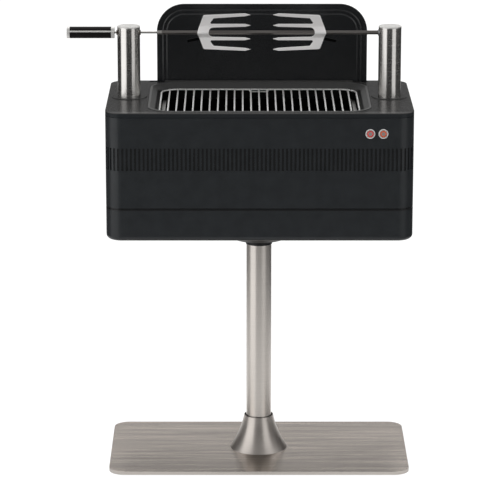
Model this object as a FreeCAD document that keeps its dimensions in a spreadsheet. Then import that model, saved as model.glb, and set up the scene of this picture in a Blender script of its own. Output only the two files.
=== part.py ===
import FreeCAD, Part

import math
import os
import types

import Sketcher

# Charcoal grill on a pole stand, with a rotisserie on two posts.
# Millimetres, +Z up, front towards -Y, origin on the floor under the middle of the stand.

SIZES = {
    # Clearances and common sheet thicknesses
    "fit": 0.05,
    "running_gap": 0.3,
    "seat_gap": 0.2,
    "shell_wall": 2,
    "thin_sheet": 1,
    # Floor plate and its pads
    "base_width": 735,
    "base_depth": 394,
    "base_thickness": 9,
    "base_corner": 38,
    "base_edge": 0.8,
    "foot_height": 2,
    "foot_diameter": 44,
    "foot_inset": 48,
    # Pole, its foot and the flared cover
    "pole_diameter": 62,
    "pole_wall": 2.5,
    "flange_diameter": 116,
    "flange_thickness": 8,
    "flange_bolt_circle": 92,
    "flange_bolt": 8,
    "bolt_head": 13,
    "bolt_head_height": 5,
    "cone_bottom": 142,
    "cone_top": 72,
    "cone_height": 84,
    "cone_wall": 1.5,
    "cone_flare": 240,
    # Neck between pole and body
    "neck_collar": 65,
    "neck_collar_height": 9.6,
    "neck_height": 54.4,
    "neck_dish": 136,
    "neck_dish_rise": 7,
    "neck_shoulder": 220,
    "neck_flange": 250,
    "neck_flange_thickness": 6,
    "neck_wall": 5,
    "neck_bolt_circle": 236,
    "neck_bolt": 6,
    "neck_head": 10,
    "neck_head_height": 4,
    # Body
    "body_width": 735,
    "body_depth": 400,
    "body_height": 313.2,
    "body_bottom": 590.8,
    "body_corner": 38,
    "shell_edge": 12,
    "floor_thickness": 3,
    "floor_plate_size": 250,
    "floor_plate_thickness": 4,
    "base_shell_height": 77.8,
    "seam_gap": 4,
    "tongue_height": 10,
    "tongue_wall": 2,
    "shell_screw": 4,
    "shell_screw_head": 8,
    "shell_screw_head_height": 2.2,
    "shell_screw_spacing": 190,
    "vent_pitch": 10,
    "vent_width": 5,
    "vent_height": 54.5,
    "vent_bottom": 173.2,
    # Deck
    "deck_thickness": 3,
    "deck_edge": 1,
    "skirt_height": 11,
    "skirt_gap": 1,
    # Cooking opening, firebox and tray
    "rim_side": 104,
    "rim_front": 21,
    "rim_rear": 28,
    "rim_corner": 60,
    "rim_inset": 18,
    "rim_drop": 15,
    "rim_wall": 2,
    "rim_flange": 4,
    "rim_flange_height": 1,
    "rim_lip_height": 5,
    "rim_groove": 1,
    "rim_groove_depth": 1.2,
    "grate_ledge": 6,
    "firebox_sheet": 2,
    "firebox_depth": 104,
    "firebox_draft": 6,
    "firebox_flange_side": 14,
    "hanger_outset": 8.5,
    "hanger_reach": 110,
    "hanger_stud": 5,
    "spacer_diameter": 10,
    "nut_diameter": 9,
    "nut_height": 4,
    "heat_shield_gap": 21,
    "heat_shield_height": 130,
    "tray_gap": 2.2,
    "tray_drop": 19,
    "tray_height": 64,
    "tray_sheet": 1.5,
    "tray_lip": 7,
    "tray_draft": 8,
    "tray_foot_diameter": 16,
    "tray_slot_length": 70,
    "tray_slot_width": 8,
    "tray_slot_pitch": 95,
    "tray_row_pitch": 60,
    "element_diameter": 8,
    "element_spread": 50,
    "element_reach": 150,
    "element_height": 9,
    "element_block_length": 16,
    "element_block_width": 80,
    "element_block_height": 22,
    # Grate
    "grate_frame_wire": 4.2,
    "grate_gap": 5.5,
    "grate_corner": 42,
    "grate_wire": 4,
    "grate_pitch": 20,
    "grate_side": 20,
    # Standing cover panel and its pocket
    "cover_width": 522,
    "cover_height": 345,
    "cover_rise": 195,
    "cover_corner": 68.5,
    "cover_shift": 8,
    "cover_back": 9,
    "cover_sheet": 2,
    "cover_step": 4,
    "cover_step_one": 13,
    "cover_step_two": 23,
    "cover_edge": 1.2,
    "cover_step_edge": 3.5,
    "pocket_front_gap": 1.5,
    "pocket_back_gap": 2.5,
    "pocket_side_gap": 2,
    # Posts
    "post_edge": 51.5,
    "post_diameter": 55,
    "post_wall": 2,
    "post_height": 174,
    "post_length": 300,
    "cap_thickness": 3,
    "cap_plug": 4,
    "cap_edge": 0.8,
    "collar_diameter": 88,
    "collar_thickness": 1.5,
    "collar_neck": 22,
    "guide_bore": 58.5,
    "guide_wall": 2,
    "guide_flange": 77,
    "guide_flange_thickness": 4,
    "guide_screw": 4,
    "guide_screw_head": 8,
    "guide_screw_head_height": 2.2,
    "guide_screw_circle": 70,
    "slider_height": 12,
    "slider_plug": 15,
    # Spit and drive
    "spit_drop": 16.3,
    "spit_square": 7,
    "spit_journal": 5,
    "journal_length": 41.5,
    "bushing_diameter": 12,
    "bushing_proud": 1.8,
    "socket_diameter": 16,
    "socket_length": 24,
    "socket_proud": 1.5,
    "socket_depth": 20,
    "drive_shaft": 8,
    "drive_shaft_length": 14,
    "gearbox_diameter": 44,
    "gearbox_height": 36,
    "gearbox_above": 4,
    "motor_diameter": 36,
    "motor_length": 62,
    "carrier_height": 14,
    "carrier_raise": 6,
    # Handle
    "handle_gap": 6.5,
    "handle_length": 115,
    "handle_diameter": 28,
    "tang_thickness": 4,
    "handle_cap": 7,
    "handle_ferrule": 8,
    "tang_entry": 5,
    # Meat forks
    "left_fork_place": 150.5,
    "right_fork_place": 162,
    "fork_length": 129,
    "fork_sheet": 3,
    "fork_wing": 3,
    "fork_crease": 12.5,
    "fork_shoulder": 15.5,
    "fork_half_height": 41.5,
    "fork_web": 28,
    "fork_inner_web": 29.5,
    "fork_outer_web": 40,
    "tine_point": 13,
    "tine_width": 6.6,
    "outer_tine_tip": 42.3,
    "outer_notch": 34,
    "inner_tine_tip": 16.5,
    "inner_notch": 19.8,
    "centre_notch": 11.5,
    "notch_radius": 3,
    "centre_notch_radius": 11,
    "fork_corner_radius": 5,
    "fork_nose_radius": 12,
    "fork_ridge_radius": 6,
    "fork_foot_radius": 4,
    "clamp_start": 8,
    "clamp_length": 19,
    "clamp_height": 40,
    "clamp_plate": 3,
    "clamp_nose": 16,
    "lever_pin": 4,
    "lever_pin_length": 8,
    "lever_pin_side": 4,
    "lever_drop": 15.5,
    "lever_hub": 10,
    "lever_thickness": 6,
    "lever_length": 36.5,
    "lever_height": 6.5,
    # Push buttons and electronics
    "button_edge": 90,
    "button_spacing": 31,
    "button_height": 263.7,
    "bezel_diameter": 23,
    "bezel_proud": 2,
    "bezel_neck": 21,
    "bezel_depth": 9,
    "button_diameter": 18,
    "button_proud": 0.6,
    "button_length": 12,
    "button_stem": 8,
    "button_travel": 2,
    "lens_outer": 15.2,
    "lens_inner": 9.4,
    "lens_depth": 1.2,
    "board_width": 80,
    "board_height": 44,
    "board_thickness": 1.6,
    "board_standoff": 18,
    "standoff_diameter": 6,
    "standoff_inset": 5,
    "switch_size": 12,
    "switch_depth": 6,
    "fan_size": 92,
    "fan_bore": 86,
    "fan_height": 25,
    "fan_edge": 137.5,
    "fan_boss": 30,
    "fan_boss_height": 5,
    "fan_strut": 4,
    "fan_shaft": 4,
    "fan_shaft_length": 15,
    "fan_hub": 34,
    "fan_hub_height": 16,
    "fan_blade_reach": 41,
    "fan_blade_width": 14,
    "fan_blade_thickness": 1.5,
    "intake_slot_length": 70,
    "intake_slot_width": 5,
    "intake_pitch": 12,
    "supply_length": 120,
    "supply_width": 70,
    "supply_height": 42,
    "supply_gap": 5,
    "inlet_edge": 167.5,
    "inlet_height": 43.2,
    "inlet_flange_width": 32,
    "inlet_flange_height": 26,
    "inlet_flange_thickness": 2,
    "inlet_width": 28,
    "inlet_tall": 20.5,
    "inlet_depth": 24,
    "inlet_wall": 1.6,
    "inlet_recess": 18,
    "blade_width": 2,
    "blade_height": 5,
    "blade_length": 11,
    "blade_spread": 7,
}

FLANGE_BOLTS = 4
NECK_BOLTS = 4
GUIDE_SCREWS = 4
SHELL_SCREWS = 4
TRAY_SLOT_COLUMNS = 4
TRAY_SLOT_ROWS = 3
INTAKE_SLOTS = 6
FAN_BLADES = 7
FAN_BLADE_TILT = 35
SPIT_ROLL = 45
LEVER_TILT = 12
HANDLE_ROLL = -20
ROOT_TWO = math.sqrt(2)

doc = FreeCAD.newDocument("charcoal_grill")
sheet = doc.addObject("Spreadsheet::Sheet", "Sizes")
for row, (alias, number) in enumerate(SIZES.items(), 1):
    sheet.set(f"A{row}", alias)
    sheet.set(f"B{row}", str(number))
    sheet.setAlias(f"B{row}", alias)
doc.recompute()


class Size:
    """A length that carries the sheet formula it was worked out by."""

    def __init__(self, number, formula):
        self.number = number
        self.formula = formula

    def __float__(self):
        return float(self.number)

    def __neg__(self):
        return Size(-self.number, f"(-1 * {self.formula})")

    def __add__(self, other):
        return Size(self.number + float(other), f"({self.formula} + {formula_of(other)})")

    def __sub__(self, other):
        return Size(self.number - float(other), f"({self.formula} - {formula_of(other)})")

    def __mul__(self, factor):
        return Size(self.number * float(factor), f"({self.formula} * {formula_of(factor)})")

    def __truediv__(self, divisor):
        return Size(self.number / float(divisor), f"({self.formula} / {formula_of(divisor)})")

    def __rsub__(self, other):
        return -self + other

    __radd__ = __add__
    __rmul__ = __mul__


def formula_of(value):
    return value.formula if isinstance(value, Size) else f"({float(value)})"


S = types.SimpleNamespace(**{a: Size(sheet.get(a), f"Sizes.{a}") for a in SIZES})
pieces = []


def tie(item, path, value):
    """Set a property by its sheet formula."""
    item.setExpression(path, formula_of(value))


def place(item, x=0, y=0, z=0):
    for axis, value in zip("xyz", (x, y, z)):
        tie(item, f"Placement.Base.{axis}", value)


def keep(item, label):
    """Name a finished sub-part and list it for writing."""
    item.Label = label
    pieces.append(item)
    return item


# Sketches

def sketch_on(body, plane, lift=0):
    """A sketch on one of the body's own planes, moved along the plane's normal.

    The normal of XY_Plane is +Z, of XZ_Plane is -Y and of YZ_Plane is +X."""
    sketch = body.newObject("Sketcher::SketchObject", f"{body.Name}_sketch")
    origin = [item for item in body.Origin.OriginFeatures if item.Role == plane][0]
    sketch.AttachmentSupport = [(origin, "")]
    sketch.MapMode = "FlatFace"
    tie(sketch, "AttachmentOffset.Base.z", lift)
    return sketch


def hold(sketch, edge, end, x=None, y=None):
    """Hold one end of an edge at its distances from the sketch's origin."""
    for kind, value, axis in (("DistanceX", x, -2), ("DistanceY", y, -1)):
        if value is None:
            continue
        if float(value) == 0:
            sketch.addConstraint(Sketcher.Constraint("PointOnObject", edge, end, axis))
            continue
        index = sketch.addConstraint(Sketcher.Constraint(kind, -1, 1, edge, end, float(value)))
        tie(sketch, f"Constraints[{index}]", value)


def vector(point):
    return FreeCAD.Vector(float(point[0]), float(point[1]), 0)


def draw_polygon(sketch, points):
    """A closed outline of straight sides with every corner held."""
    first = sketch.GeometryCount
    count = len(points)
    for i, point in enumerate(points):
        sketch.addGeometry(Part.LineSegment(vector(point), vector(points[(i + 1) % count])))
    for i, (x, y) in enumerate(points):
        after = first + (i + 1) % count
        sketch.addConstraint(Sketcher.Constraint("Coincident", first + i, 2, after, 1))
        hold(sketch, first + i, 1, x, y)


def draw_rectangle(sketch, low, high):
    draw_polygon(sketch, [low, (high[0], low[1]), high, (low[0], high[1])])


def draw_circle(sketch, radius, x=0, y=0):
    edge = sketch.addGeometry(Part.Circle(vector((x, y)), FreeCAD.Vector(0, 0, 1), float(radius)))
    index = sketch.addConstraint(Sketcher.Constraint("Radius", edge, float(radius)))
    tie(sketch, f"Constraints[{index}]", radius)
    hold(sketch, edge, 3, x, y)


def draw_rounded(sketch, width, depth, radius, y=0, x=0):
    """A rectangle with round corners about the point x, y."""
    east, north = x + width / 2, y + depth / 2
    west, south = x - width / 2, y - depth / 2
    corners = [(east - radius, south + radius), (east - radius, north - radius)]
    corners += [(west + radius, north - radius), (west + radius, south + radius)]
    first = sketch.GeometryCount
    reach = float(radius)
    for turn, centre in enumerate(corners):
        before = vector(corners[turn - 1])
        middle = vector(centre)
        outward = FreeCAD.Vector(0, -reach, 0)
        outward = FreeCAD.Rotation(FreeCAD.Vector(0, 0, 1), 90 * turn).multVec(outward)
        sketch.addGeometry(Part.LineSegment(before + outward, middle + outward))
        circle = Part.Circle(middle, FreeCAD.Vector(0, 0, 1), reach)
        start = math.radians(90 * turn - 90)
        sketch.addGeometry(Part.ArcOfCircle(circle, start, start + math.pi / 2))
    for turn in range(4):
        line, arc = first + 2 * turn, first + 2 * turn + 1
        following = first + (2 * turn + 2) % 8
        sketch.addConstraint(Sketcher.Constraint("Tangent", line, 2, arc, 1))
        sketch.addConstraint(Sketcher.Constraint("Tangent", arc, 2, following, 1))
        level = "Vertical" if turn % 2 else "Horizontal"
        sketch.addConstraint(Sketcher.Constraint(level, line))
        if turn:
            sketch.addConstraint(Sketcher.Constraint("Equal", first + 1, arc))
    index = sketch.addConstraint(Sketcher.Constraint("Radius", first + 1, reach))
    tie(sketch, f"Constraints[{index}]", radius)
    hold(sketch, first, 1, y=south)
    hold(sketch, first + 2, 1, x=east)
    hold(sketch, first + 4, 1, y=north)
    hold(sketch, first + 6, 1, x=west)


# Features of a body

def new_body(label, z=0, x=0, y=0, finished=True):
    body = doc.addObject("PartDesign::Body", label)
    place(body, x, y, z)
    if finished:
        keep(body, label)
    return body


def extrude(body, kind, sketch, length, reverse, both):
    feature = body.newObject(f"PartDesign::{kind}", f"{body.Name}_{kind.lower()}")
    feature.Profile = sketch
    tie(feature, "Length", length)
    feature.Reversed = reverse
    if both:
        feature.SideType = "Symmetric"
    body.Tip = feature
    return feature


def pad(body, sketch, length, reverse=False, both=False):
    """Add material along the sketch's normal."""
    return extrude(body, "Pad", sketch, length, reverse, both)


def pocket(body, sketch, depth, along=True, both=False):
    """Cut along the sketch's normal, or against it."""
    return extrude(body, "Pocket", sketch, depth, along, both)


def turn(body, sketch):
    """Turn a half section about the sketch's upright axis."""
    feature = body.newObject("PartDesign::Revolution", f"{body.Name}_turned")
    feature.Profile = sketch
    feature.ReferenceAxis = (sketch, ["V_Axis"])
    feature.Angle = 360
    body.Tip = feature
    return feature


def loft(body, kind, start, end):
    """A straight-sided transition between two outlines, added or subtracted."""
    feature = body.newObject(f"PartDesign::{kind}Loft", f"{body.Name}_loft")
    feature.Profile = start
    feature.Sections = [end]
    feature.Ruled = True
    body.Tip = feature
    return feature


def repeat(body, feature, sketch, axis, pitch, count):
    """Repeat a feature along an axis of its sketch."""
    row = body.newObject("PartDesign::LinearPattern", f"{body.Name}_row")
    row.Originals = [feature]
    row.Direction = (sketch, [axis])
    tie(row, "Length", pitch * (count - 1))
    row.Occurrences = count
    body.Tip = row
    return row


def round_edges(body, radius, wanted):
    """Round those edges of the body so far that the test picks."""
    doc.recompute()
    base = body.Tip
    names = [f"Edge{i}" for i, edge in enumerate(base.Shape.Edges, 1) if wanted(edge)]
    feature = body.newObject("PartDesign::Fillet", f"{body.Name}_rounding")
    feature.Base = (base, names)
    tie(feature, "Radius", radius)
    body.Tip = feature
    return feature


def at_level(axis, level):
    """A test for edges that lie in one plane across an axis."""
    def wanted(edge):
        box = edge.BoundBox
        low, high = (box.YMin, box.YMax) if axis == "y" else (box.ZMin, box.ZMax)
        return abs(low - float(level)) < 1e-4 and abs(high - float(level)) < 1e-4
    return wanted


# Simple solids

TURNS = {
    "x": FreeCAD.Rotation(FreeCAD.Vector(0, 1, 0), 90),
    "y": FreeCAD.Rotation(FreeCAD.Vector(1, 0, 0), -90),
    "z": FreeCAD.Rotation(),
}


def cylinder(name, radius, length, x=0, y=0, z=0, axis="z"):
    solid = doc.addObject("Part::Cylinder", name)
    tie(solid, "Radius", radius)
    tie(solid, "Height", length)
    solid.Placement = FreeCAD.Placement(FreeCAD.Vector(), TURNS[axis])
    place(solid, x, y, z)
    return solid


def block(name, low, high):
    """A box between two corners."""
    solid = doc.addObject("Part::Box", name)
    for side, start, end in zip(("Length", "Width", "Height"), low, high):
        tie(solid, side, end - start)
    place(solid, *low)
    return solid


def square_bar(name, side, start, end, z):
    """A square bar along X on the spit's line, standing on its edge."""
    solid = doc.addObject("Part::Box", name)
    tie(solid, "Length", end - start)
    tie(solid, "Width", side)
    tie(solid, "Height", side)
    roll = FreeCAD.Rotation(FreeCAD.Vector(1, 0, 0), SPIT_ROLL)
    solid.Placement = FreeCAD.Placement(FreeCAD.Vector(), roll)
    place(solid, start, 0, z - side * (ROOT_TWO / 2))
    return solid


def rolled_slab(name, start, end, half_width, thickness):
    """A slab along the spit's line, rolled about it so that its front edge is raised."""
    solid = doc.addObject("Part::Box", name)
    tie(solid, "Length", end - start)
    tie(solid, "Width", 2 * half_width)
    tie(solid, "Height", thickness)
    roll = FreeCAD.Rotation(FreeCAD.Vector(1, 0, 0), HANDLE_ROLL)
    solid.Placement = FreeCAD.Placement(FreeCAD.Vector(), roll)
    across, up = roll.multVec(FreeCAD.Vector(0, 1, 0)), roll.multVec(FreeCAD.Vector(0, 0, 1))
    place(solid, start, -half_width * across.y - thickness * (up.y / 2),
          spit_z - half_width * across.z - thickness * (up.z / 2))
    return solid


def cut(name, base, *tools):
    result = doc.addObject("Part::Cut", name)
    result.Base = base
    result.Tool = tools[0] if len(tools) == 1 else group(f"{name}_tools", tools)
    return result


def fuse(name, *solids):
    result = doc.addObject("Part::MultiFuse", name)
    result.Shapes = list(solids)
    return result


def group(name, solids):
    result = doc.addObject("Part::Compound", name)
    result.Links = list(solids)
    return result


def pegs(label, plane, spots, bands):
    """Like round pieces at several spots, each a stack of (radius, start, end) along the normal."""
    body = new_body(label)
    for radius, start, end in bands:
        sketch = sketch_on(body, plane, start)
        for x, y in spots:
            draw_circle(sketch, radius, x, y)
        pad(body, sketch, end - start)
    return body


def drill(body, plane, spots, radius, start, depth):
    """Round holes at several spots, cut along the normal from start."""
    sketch = sketch_on(body, plane, start)
    for x, y in spots:
        draw_circle(sketch, radius, x, y)
    return pocket(body, sketch, depth)


def bolt_circle(diameter, count, x=0, y=0):
    """Spots on a circle, the first at half a step."""
    angles = [2 * math.pi * (i + 0.5) / count for i in range(count)]
    return [(x + diameter / 2 * math.cos(a), y + diameter / 2 * math.sin(a)) for a in angles]


def mirrored_spots(x, y):
    return [(x * sx, y * sy) for sx in (-1, 1) for sy in (-1, 1)]


# Places that several pieces share

base_top = S.foot_height + S.base_thickness
flange_top = base_top + S.flange_thickness
neck_bottom = S.body_bottom - S.neck_height
floor_top = S.body_bottom + S.floor_thickness
deck_top = S.body_bottom + S.body_height
deck_under = deck_top - S.deck_thickness
skirt_bottom = deck_top - S.skirt_height
shell_bottom = S.body_bottom + S.base_shell_height + S.seam_gap
front_face = -S.body_depth / 2
rear_face = S.body_depth / 2
front_inside = front_face + S.shell_wall

rim_width = S.body_width - 2 * S.rim_side
rim_depth = S.body_depth - S.rim_front - S.rim_rear
rim_middle = (S.rim_front - S.rim_rear) / 2
rim_back = rear_face - S.rim_rear
ledge_top = deck_top - S.rim_drop
well_width = rim_width - 2 * (S.rim_inset + S.grate_ledge)
well_depth = rim_depth - 2 * (S.rim_inset + S.grate_ledge)
well_corner = S.rim_corner - S.rim_inset - S.grate_ledge
hanger_x = rim_width / 2 + S.hanger_outset
hanger_spots = [(sx * hanger_x, rim_middle + sy * S.hanger_reach) for sx in (-1, 1) for sy in (-1, 1)]
firebox_floor = ledge_top - S.firebox_depth + S.firebox_sheet
tray_top = ledge_top - S.tray_drop
tray_bottom = tray_top - S.tray_height

cover_back = rear_face - S.cover_back
cover_front = cover_back - S.cover_sheet - 2 * S.cover_step
slot_front = cover_front - S.pocket_front_gap
slot_back = cover_back + S.pocket_back_gap
slot_half = S.cover_width / 2 + S.cover_shift + S.pocket_side_gap
cover_bottom = deck_top + S.cover_rise - S.cover_height

post_x = S.body_width / 2 - S.post_edge
post_radius = S.post_diameter / 2
post_bore = post_radius - S.post_wall
post_top = deck_top + S.post_height
post_bottom = post_top - S.post_length
spit_z = post_top - S.spit_drop
guide_spots = [bolt_circle(S.guide_screw_circle, GUIDE_SCREWS, side * post_x) for side in (-1, 1)]
guide_spots = guide_spots[0] + guide_spots[1]
socket_start = post_x - post_radius - S.socket_proud
socket_end = socket_start + S.socket_length
journal_end = -post_x + post_radius + S.journal_length

button_z = S.body_bottom + S.button_height
button_middle = S.body_width / 2 - S.button_edge
button_spots = {
    "ignition": button_middle - S.button_spacing / 2,
    "spit": button_middle + S.button_spacing / 2,
}
board_front = front_inside + S.board_standoff
fan_x = S.fan_edge - S.body_width / 2
supply_x = S.floor_plate_size / 2 + S.supply_gap + S.supply_length / 2
inlet_x = S.body_width / 2 - S.inlet_edge
switch_front = board_front - S.switch_depth


# Stand

def make_base_plate():
    body = new_body("base_plate", S.foot_height)
    outline = sketch_on(body, "XY_Plane")
    draw_rounded(outline, S.base_width, S.base_depth, S.base_corner)
    pad(body, outline, S.base_thickness)
    round_edges(body, S.base_edge, at_level("z", S.base_thickness))
    spots = bolt_circle(S.flange_bolt_circle, FLANGE_BOLTS)
    drill(body, "XY_Plane", spots, S.flange_bolt / 2 + S.fit, 0, S.base_thickness)


def make_base_feet():
    reach_x = S.base_width / 2 - S.foot_inset
    reach_y = S.base_depth / 2 - S.foot_inset
    spots = mirrored_spots(reach_x, reach_y) + [(0, 0)]
    pegs("base_feet", "XY_Plane", spots, [(S.foot_diameter / 2, 0, S.foot_height)])


def make_pole_flange():
    spots = bolt_circle(S.flange_bolt_circle, FLANGE_BOLTS)
    body = new_body("pole_flange", base_top)
    disc = sketch_on(body, "XY_Plane")
    draw_circle(disc, S.flange_diameter / 2)
    pad(body, disc, S.flange_thickness)
    drill(body, "XY_Plane", spots, S.flange_bolt / 2 + S.fit, 0, S.flange_thickness)
    shank = (S.flange_bolt / 2, S.foot_height, flange_top)
    head = (S.bolt_head / 2, flange_top, flange_top + S.bolt_head_height)
    pegs("flange_bolts", "XY_Plane", spots, [shank, head])


def make_pole_tube():
    length = S.body_bottom - S.running_gap - flange_top
    outside = cylinder("pole_outside", S.pole_diameter / 2, length, z=flange_top)
    bore = cylinder("pole_bore", S.pole_diameter / 2 - S.pole_wall, length, z=flange_top)
    keep(cut("pole", outside, bore), "pole_tube")


def draw_flare(sketch, bottom, top, radius):
    """An arc between two ends, hollow towards the outside, held by its ends and radius."""
    low, high, reach = vector(bottom), vector(top), float(radius)
    chord = high - low
    outward = FreeCAD.Vector(chord.y, -chord.x, 0).normalize()
    centre = (low + high) * 0.5 + outward * math.sqrt(reach ** 2 - chord.Length ** 2 / 4)
    angles = [math.atan2(end.y - centre.y, end.x - centre.x) % (2 * math.pi) for end in (high, low)]
    circle = Part.Circle(centre, FreeCAD.Vector(0, 0, 1), reach)
    edge = sketch.addGeometry(Part.ArcOfCircle(circle, *angles))
    index = sketch.addConstraint(Sketcher.Constraint("Radius", edge, reach))
    tie(sketch, f"Constraints[{index}]", radius)
    hold(sketch, edge, 1, *top)
    hold(sketch, edge, 2, *bottom)
    return (edge, 2), (edge, 1)


def make_base_cone():
    body = new_body("base_cone", base_top)
    sketch = sketch_on(body, "XZ_Plane")
    outer_low, outer_high = (S.cone_bottom / 2, 0), (S.cone_top / 2, S.cone_height)
    inner_low, inner_high = (outer_low[0] - S.cone_wall, 0), (outer_high[0] - S.cone_wall, S.cone_height)
    outer = draw_flare(sketch, outer_low, outer_high, S.cone_flare)
    inner = draw_flare(sketch, inner_low, inner_high, S.cone_flare)
    for level, (a, b) in enumerate(((outer_low, inner_low), (outer_high, inner_high))):
        line = sketch.addGeometry(Part.LineSegment(vector(a), vector(b)))
        sketch.addConstraint(Sketcher.Constraint("Coincident", line, 1, *outer[level]))
        sketch.addConstraint(Sketcher.Constraint("Coincident", line, 2, *inner[level]))
    turn(body, sketch)


def make_neck():
    bore = S.pole_diameter / 2 + S.fit
    sleeve = bore + S.neck_wall
    collar, dish = S.neck_collar / 2, S.neck_dish / 2
    shoulder, flange = S.neck_shoulder / 2, S.neck_flange / 2
    dish_z = S.neck_collar_height + S.neck_dish_rise
    flange_z = S.neck_height - S.neck_flange_thickness
    body = new_body("neck_flange", neck_bottom)
    section = sketch_on(body, "XZ_Plane")
    draw_polygon(section, [
        (bore, 0), (collar, 0), (collar, S.neck_collar_height), (dish, dish_z),
        (shoulder, flange_z), (flange, flange_z), (flange, S.neck_height),
        (shoulder - S.neck_wall, S.neck_height), (shoulder - S.neck_wall, flange_z),
        (dish, dish_z + S.neck_wall), (sleeve, dish_z), (sleeve, S.neck_height), (bore, S.neck_height),
    ])
    turn(body, section)
    spots = bolt_circle(S.neck_bolt_circle, NECK_BOLTS)
    drill(body, "XY_Plane", spots, S.neck_bolt / 2 + S.fit, flange_z, S.neck_flange_thickness)
    flange_under = neck_bottom + flange_z
    plate_top = floor_top + S.floor_plate_thickness
    pegs("neck_bolts", "XY_Plane", spots, [
        (S.neck_head / 2, flange_under - S.neck_head_height, flange_under),
        (S.neck_bolt / 2, flange_under, plate_top),
    ])
    plate = new_body("floor_plate", floor_top)
    outline = sketch_on(plate, "XY_Plane")
    draw_rounded(outline, S.floor_plate_size, S.floor_plate_size, S.neck_wall)
    pad(plate, outline, S.floor_plate_thickness)
    drill(plate, "XY_Plane", spots, S.neck_bolt / 2 + S.fit, 0, S.floor_plate_thickness)


# Body shells

def draw_body_outline(sketch, inset=0):
    draw_rounded(sketch, S.body_width - 2 * inset, S.body_depth - 2 * inset, S.body_corner - inset)


def pad_ring(body, lift, height, outer_inset, inner_inset):
    """A band that follows the body's outline."""
    sketch = sketch_on(body, "XY_Plane", lift)
    draw_body_outline(sketch, outer_inset)
    draw_body_outline(sketch, inner_inset)
    return pad(body, sketch, height)


tongue_outside = S.shell_wall + S.seat_gap
tongue_inside = tongue_outside + S.tongue_wall


def make_base_shell():
    height = S.base_shell_height
    body = new_body("base_shell", S.body_bottom)
    outline = sketch_on(body, "XY_Plane")
    draw_body_outline(outline)
    pad(body, outline, height)
    round_edges(body, S.shell_edge, at_level("z", 0))
    cavity = new_body("base_shell_cavity", S.floor_thickness, finished=False)
    inside = sketch_on(cavity, "XY_Plane")
    draw_body_outline(inside, S.shell_wall)
    pad(cavity, inside, height)
    round_edges(cavity, S.shell_edge - S.shell_wall, at_level("z", 0))
    hollow = body.newObject("PartDesign::Boolean", "base_shell_hollow")
    hollow.Type = "Cut"
    hollow.addObject(cavity)
    body.Tip = hollow
    ledge = height - S.tongue_height
    pad_ring(body, ledge, S.tongue_height, S.shell_wall / 2, tongue_inside)
    pad_ring(body, ledge, 2 * S.tongue_height, tongue_outside, tongue_inside)
    spots = bolt_circle(S.neck_bolt_circle, NECK_BOLTS)
    drill(body, "XY_Plane", spots, S.neck_bolt / 2 + S.fit, 0, S.floor_thickness)
    drill(body, "XY_Plane", guide_spots, S.guide_screw / 2 + S.fit, 0, S.floor_thickness)
    intake = sketch_on(body, "XY_Plane")
    first = -S.intake_pitch * ((INTAKE_SLOTS - 1) / 2)
    draw_rectangle(intake,
                   (fan_x - S.intake_slot_length / 2, first - S.intake_slot_width / 2),
                   (fan_x + S.intake_slot_length / 2, first + S.intake_slot_width / 2))
    slot = pocket(body, intake, S.floor_thickness)
    repeat(body, slot, intake, "V_Axis", S.intake_pitch, INTAKE_SLOTS)
    window = sketch_on(body, "XZ_Plane", -rear_face)
    half_width = S.inlet_width / 2 + S.seat_gap
    half_height = S.inlet_tall / 2 + S.seat_gap
    draw_rectangle(window, (inlet_x - half_width, S.inlet_height - half_height),
                   (inlet_x + half_width, S.inlet_height + half_height))
    pocket(body, window, S.shell_wall)
    screw_holes = [(x, z - S.body_bottom) for x, z in shell_screw_spots()]
    drill(body, "XZ_Plane", screw_holes, S.shell_screw / 2 + S.fit, -rear_face, 2 * tongue_inside)


def shell_screw_spots():
    """Screws through the upper shell into the lower shell's tongue, in a row at the back."""
    height = shell_bottom + (S.tongue_height - S.seam_gap) / 2
    return [(S.shell_screw_spacing * (i - (SHELL_SCREWS - 1) / 2), height) for i in range(SHELL_SCREWS)]


def make_shell_screws():
    head_top = rear_face + S.shell_screw_head_height
    shank_end = rear_face - tongue_inside
    pegs("shell_screws", "XZ_Plane", shell_screw_spots(), [
        (S.shell_screw_head / 2, -head_top, -rear_face),
        (S.shell_screw / 2, -rear_face, -shank_end),
    ])


def outline_place(distance):
    """The point this far along the body's outline from the middle of its front, and the way it faces."""
    corner = float(S.body_corner)
    bend = corner * math.pi / 2
    wide, deep = float(S.body_width) - 2 * corner, float(S.body_depth) - 2 * corner
    point, facing = FreeCAD.Vector(0, float(front_face), 0), -90
    for run in (wide / 2, deep, wide, deep, wide / 2):
        outward = FreeCAD.Rotation(FreeCAD.Vector(0, 0, 1), facing).multVec(FreeCAD.Vector(1, 0, 0))
        along = FreeCAD.Vector(-outward.y, outward.x, 0)
        if distance <= run:
            return point + along * distance, facing
        middle = point + along * run - outward * corner
        distance -= run
        if distance <= bend:
            swing = math.degrees(distance / corner)
            swung = FreeCAD.Rotation(FreeCAD.Vector(0, 0, 1), swing).multVec(outward)
            return middle + swung * corner, facing + swing
        point = middle + along * corner
        distance -= bend
        facing += 90


def vent_stations():
    """Places of the vent slots, evenly spaced all round the body, each with the way it faces."""
    corner = float(S.body_corner)
    around = 2 * float(S.body_width + S.body_depth) - (8 - 2 * math.pi) * corner
    count = 2 * round(around / float(S.vent_pitch) / 2)
    return [outline_place((i + 0.5) * around / count) for i in range(count)]


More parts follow.
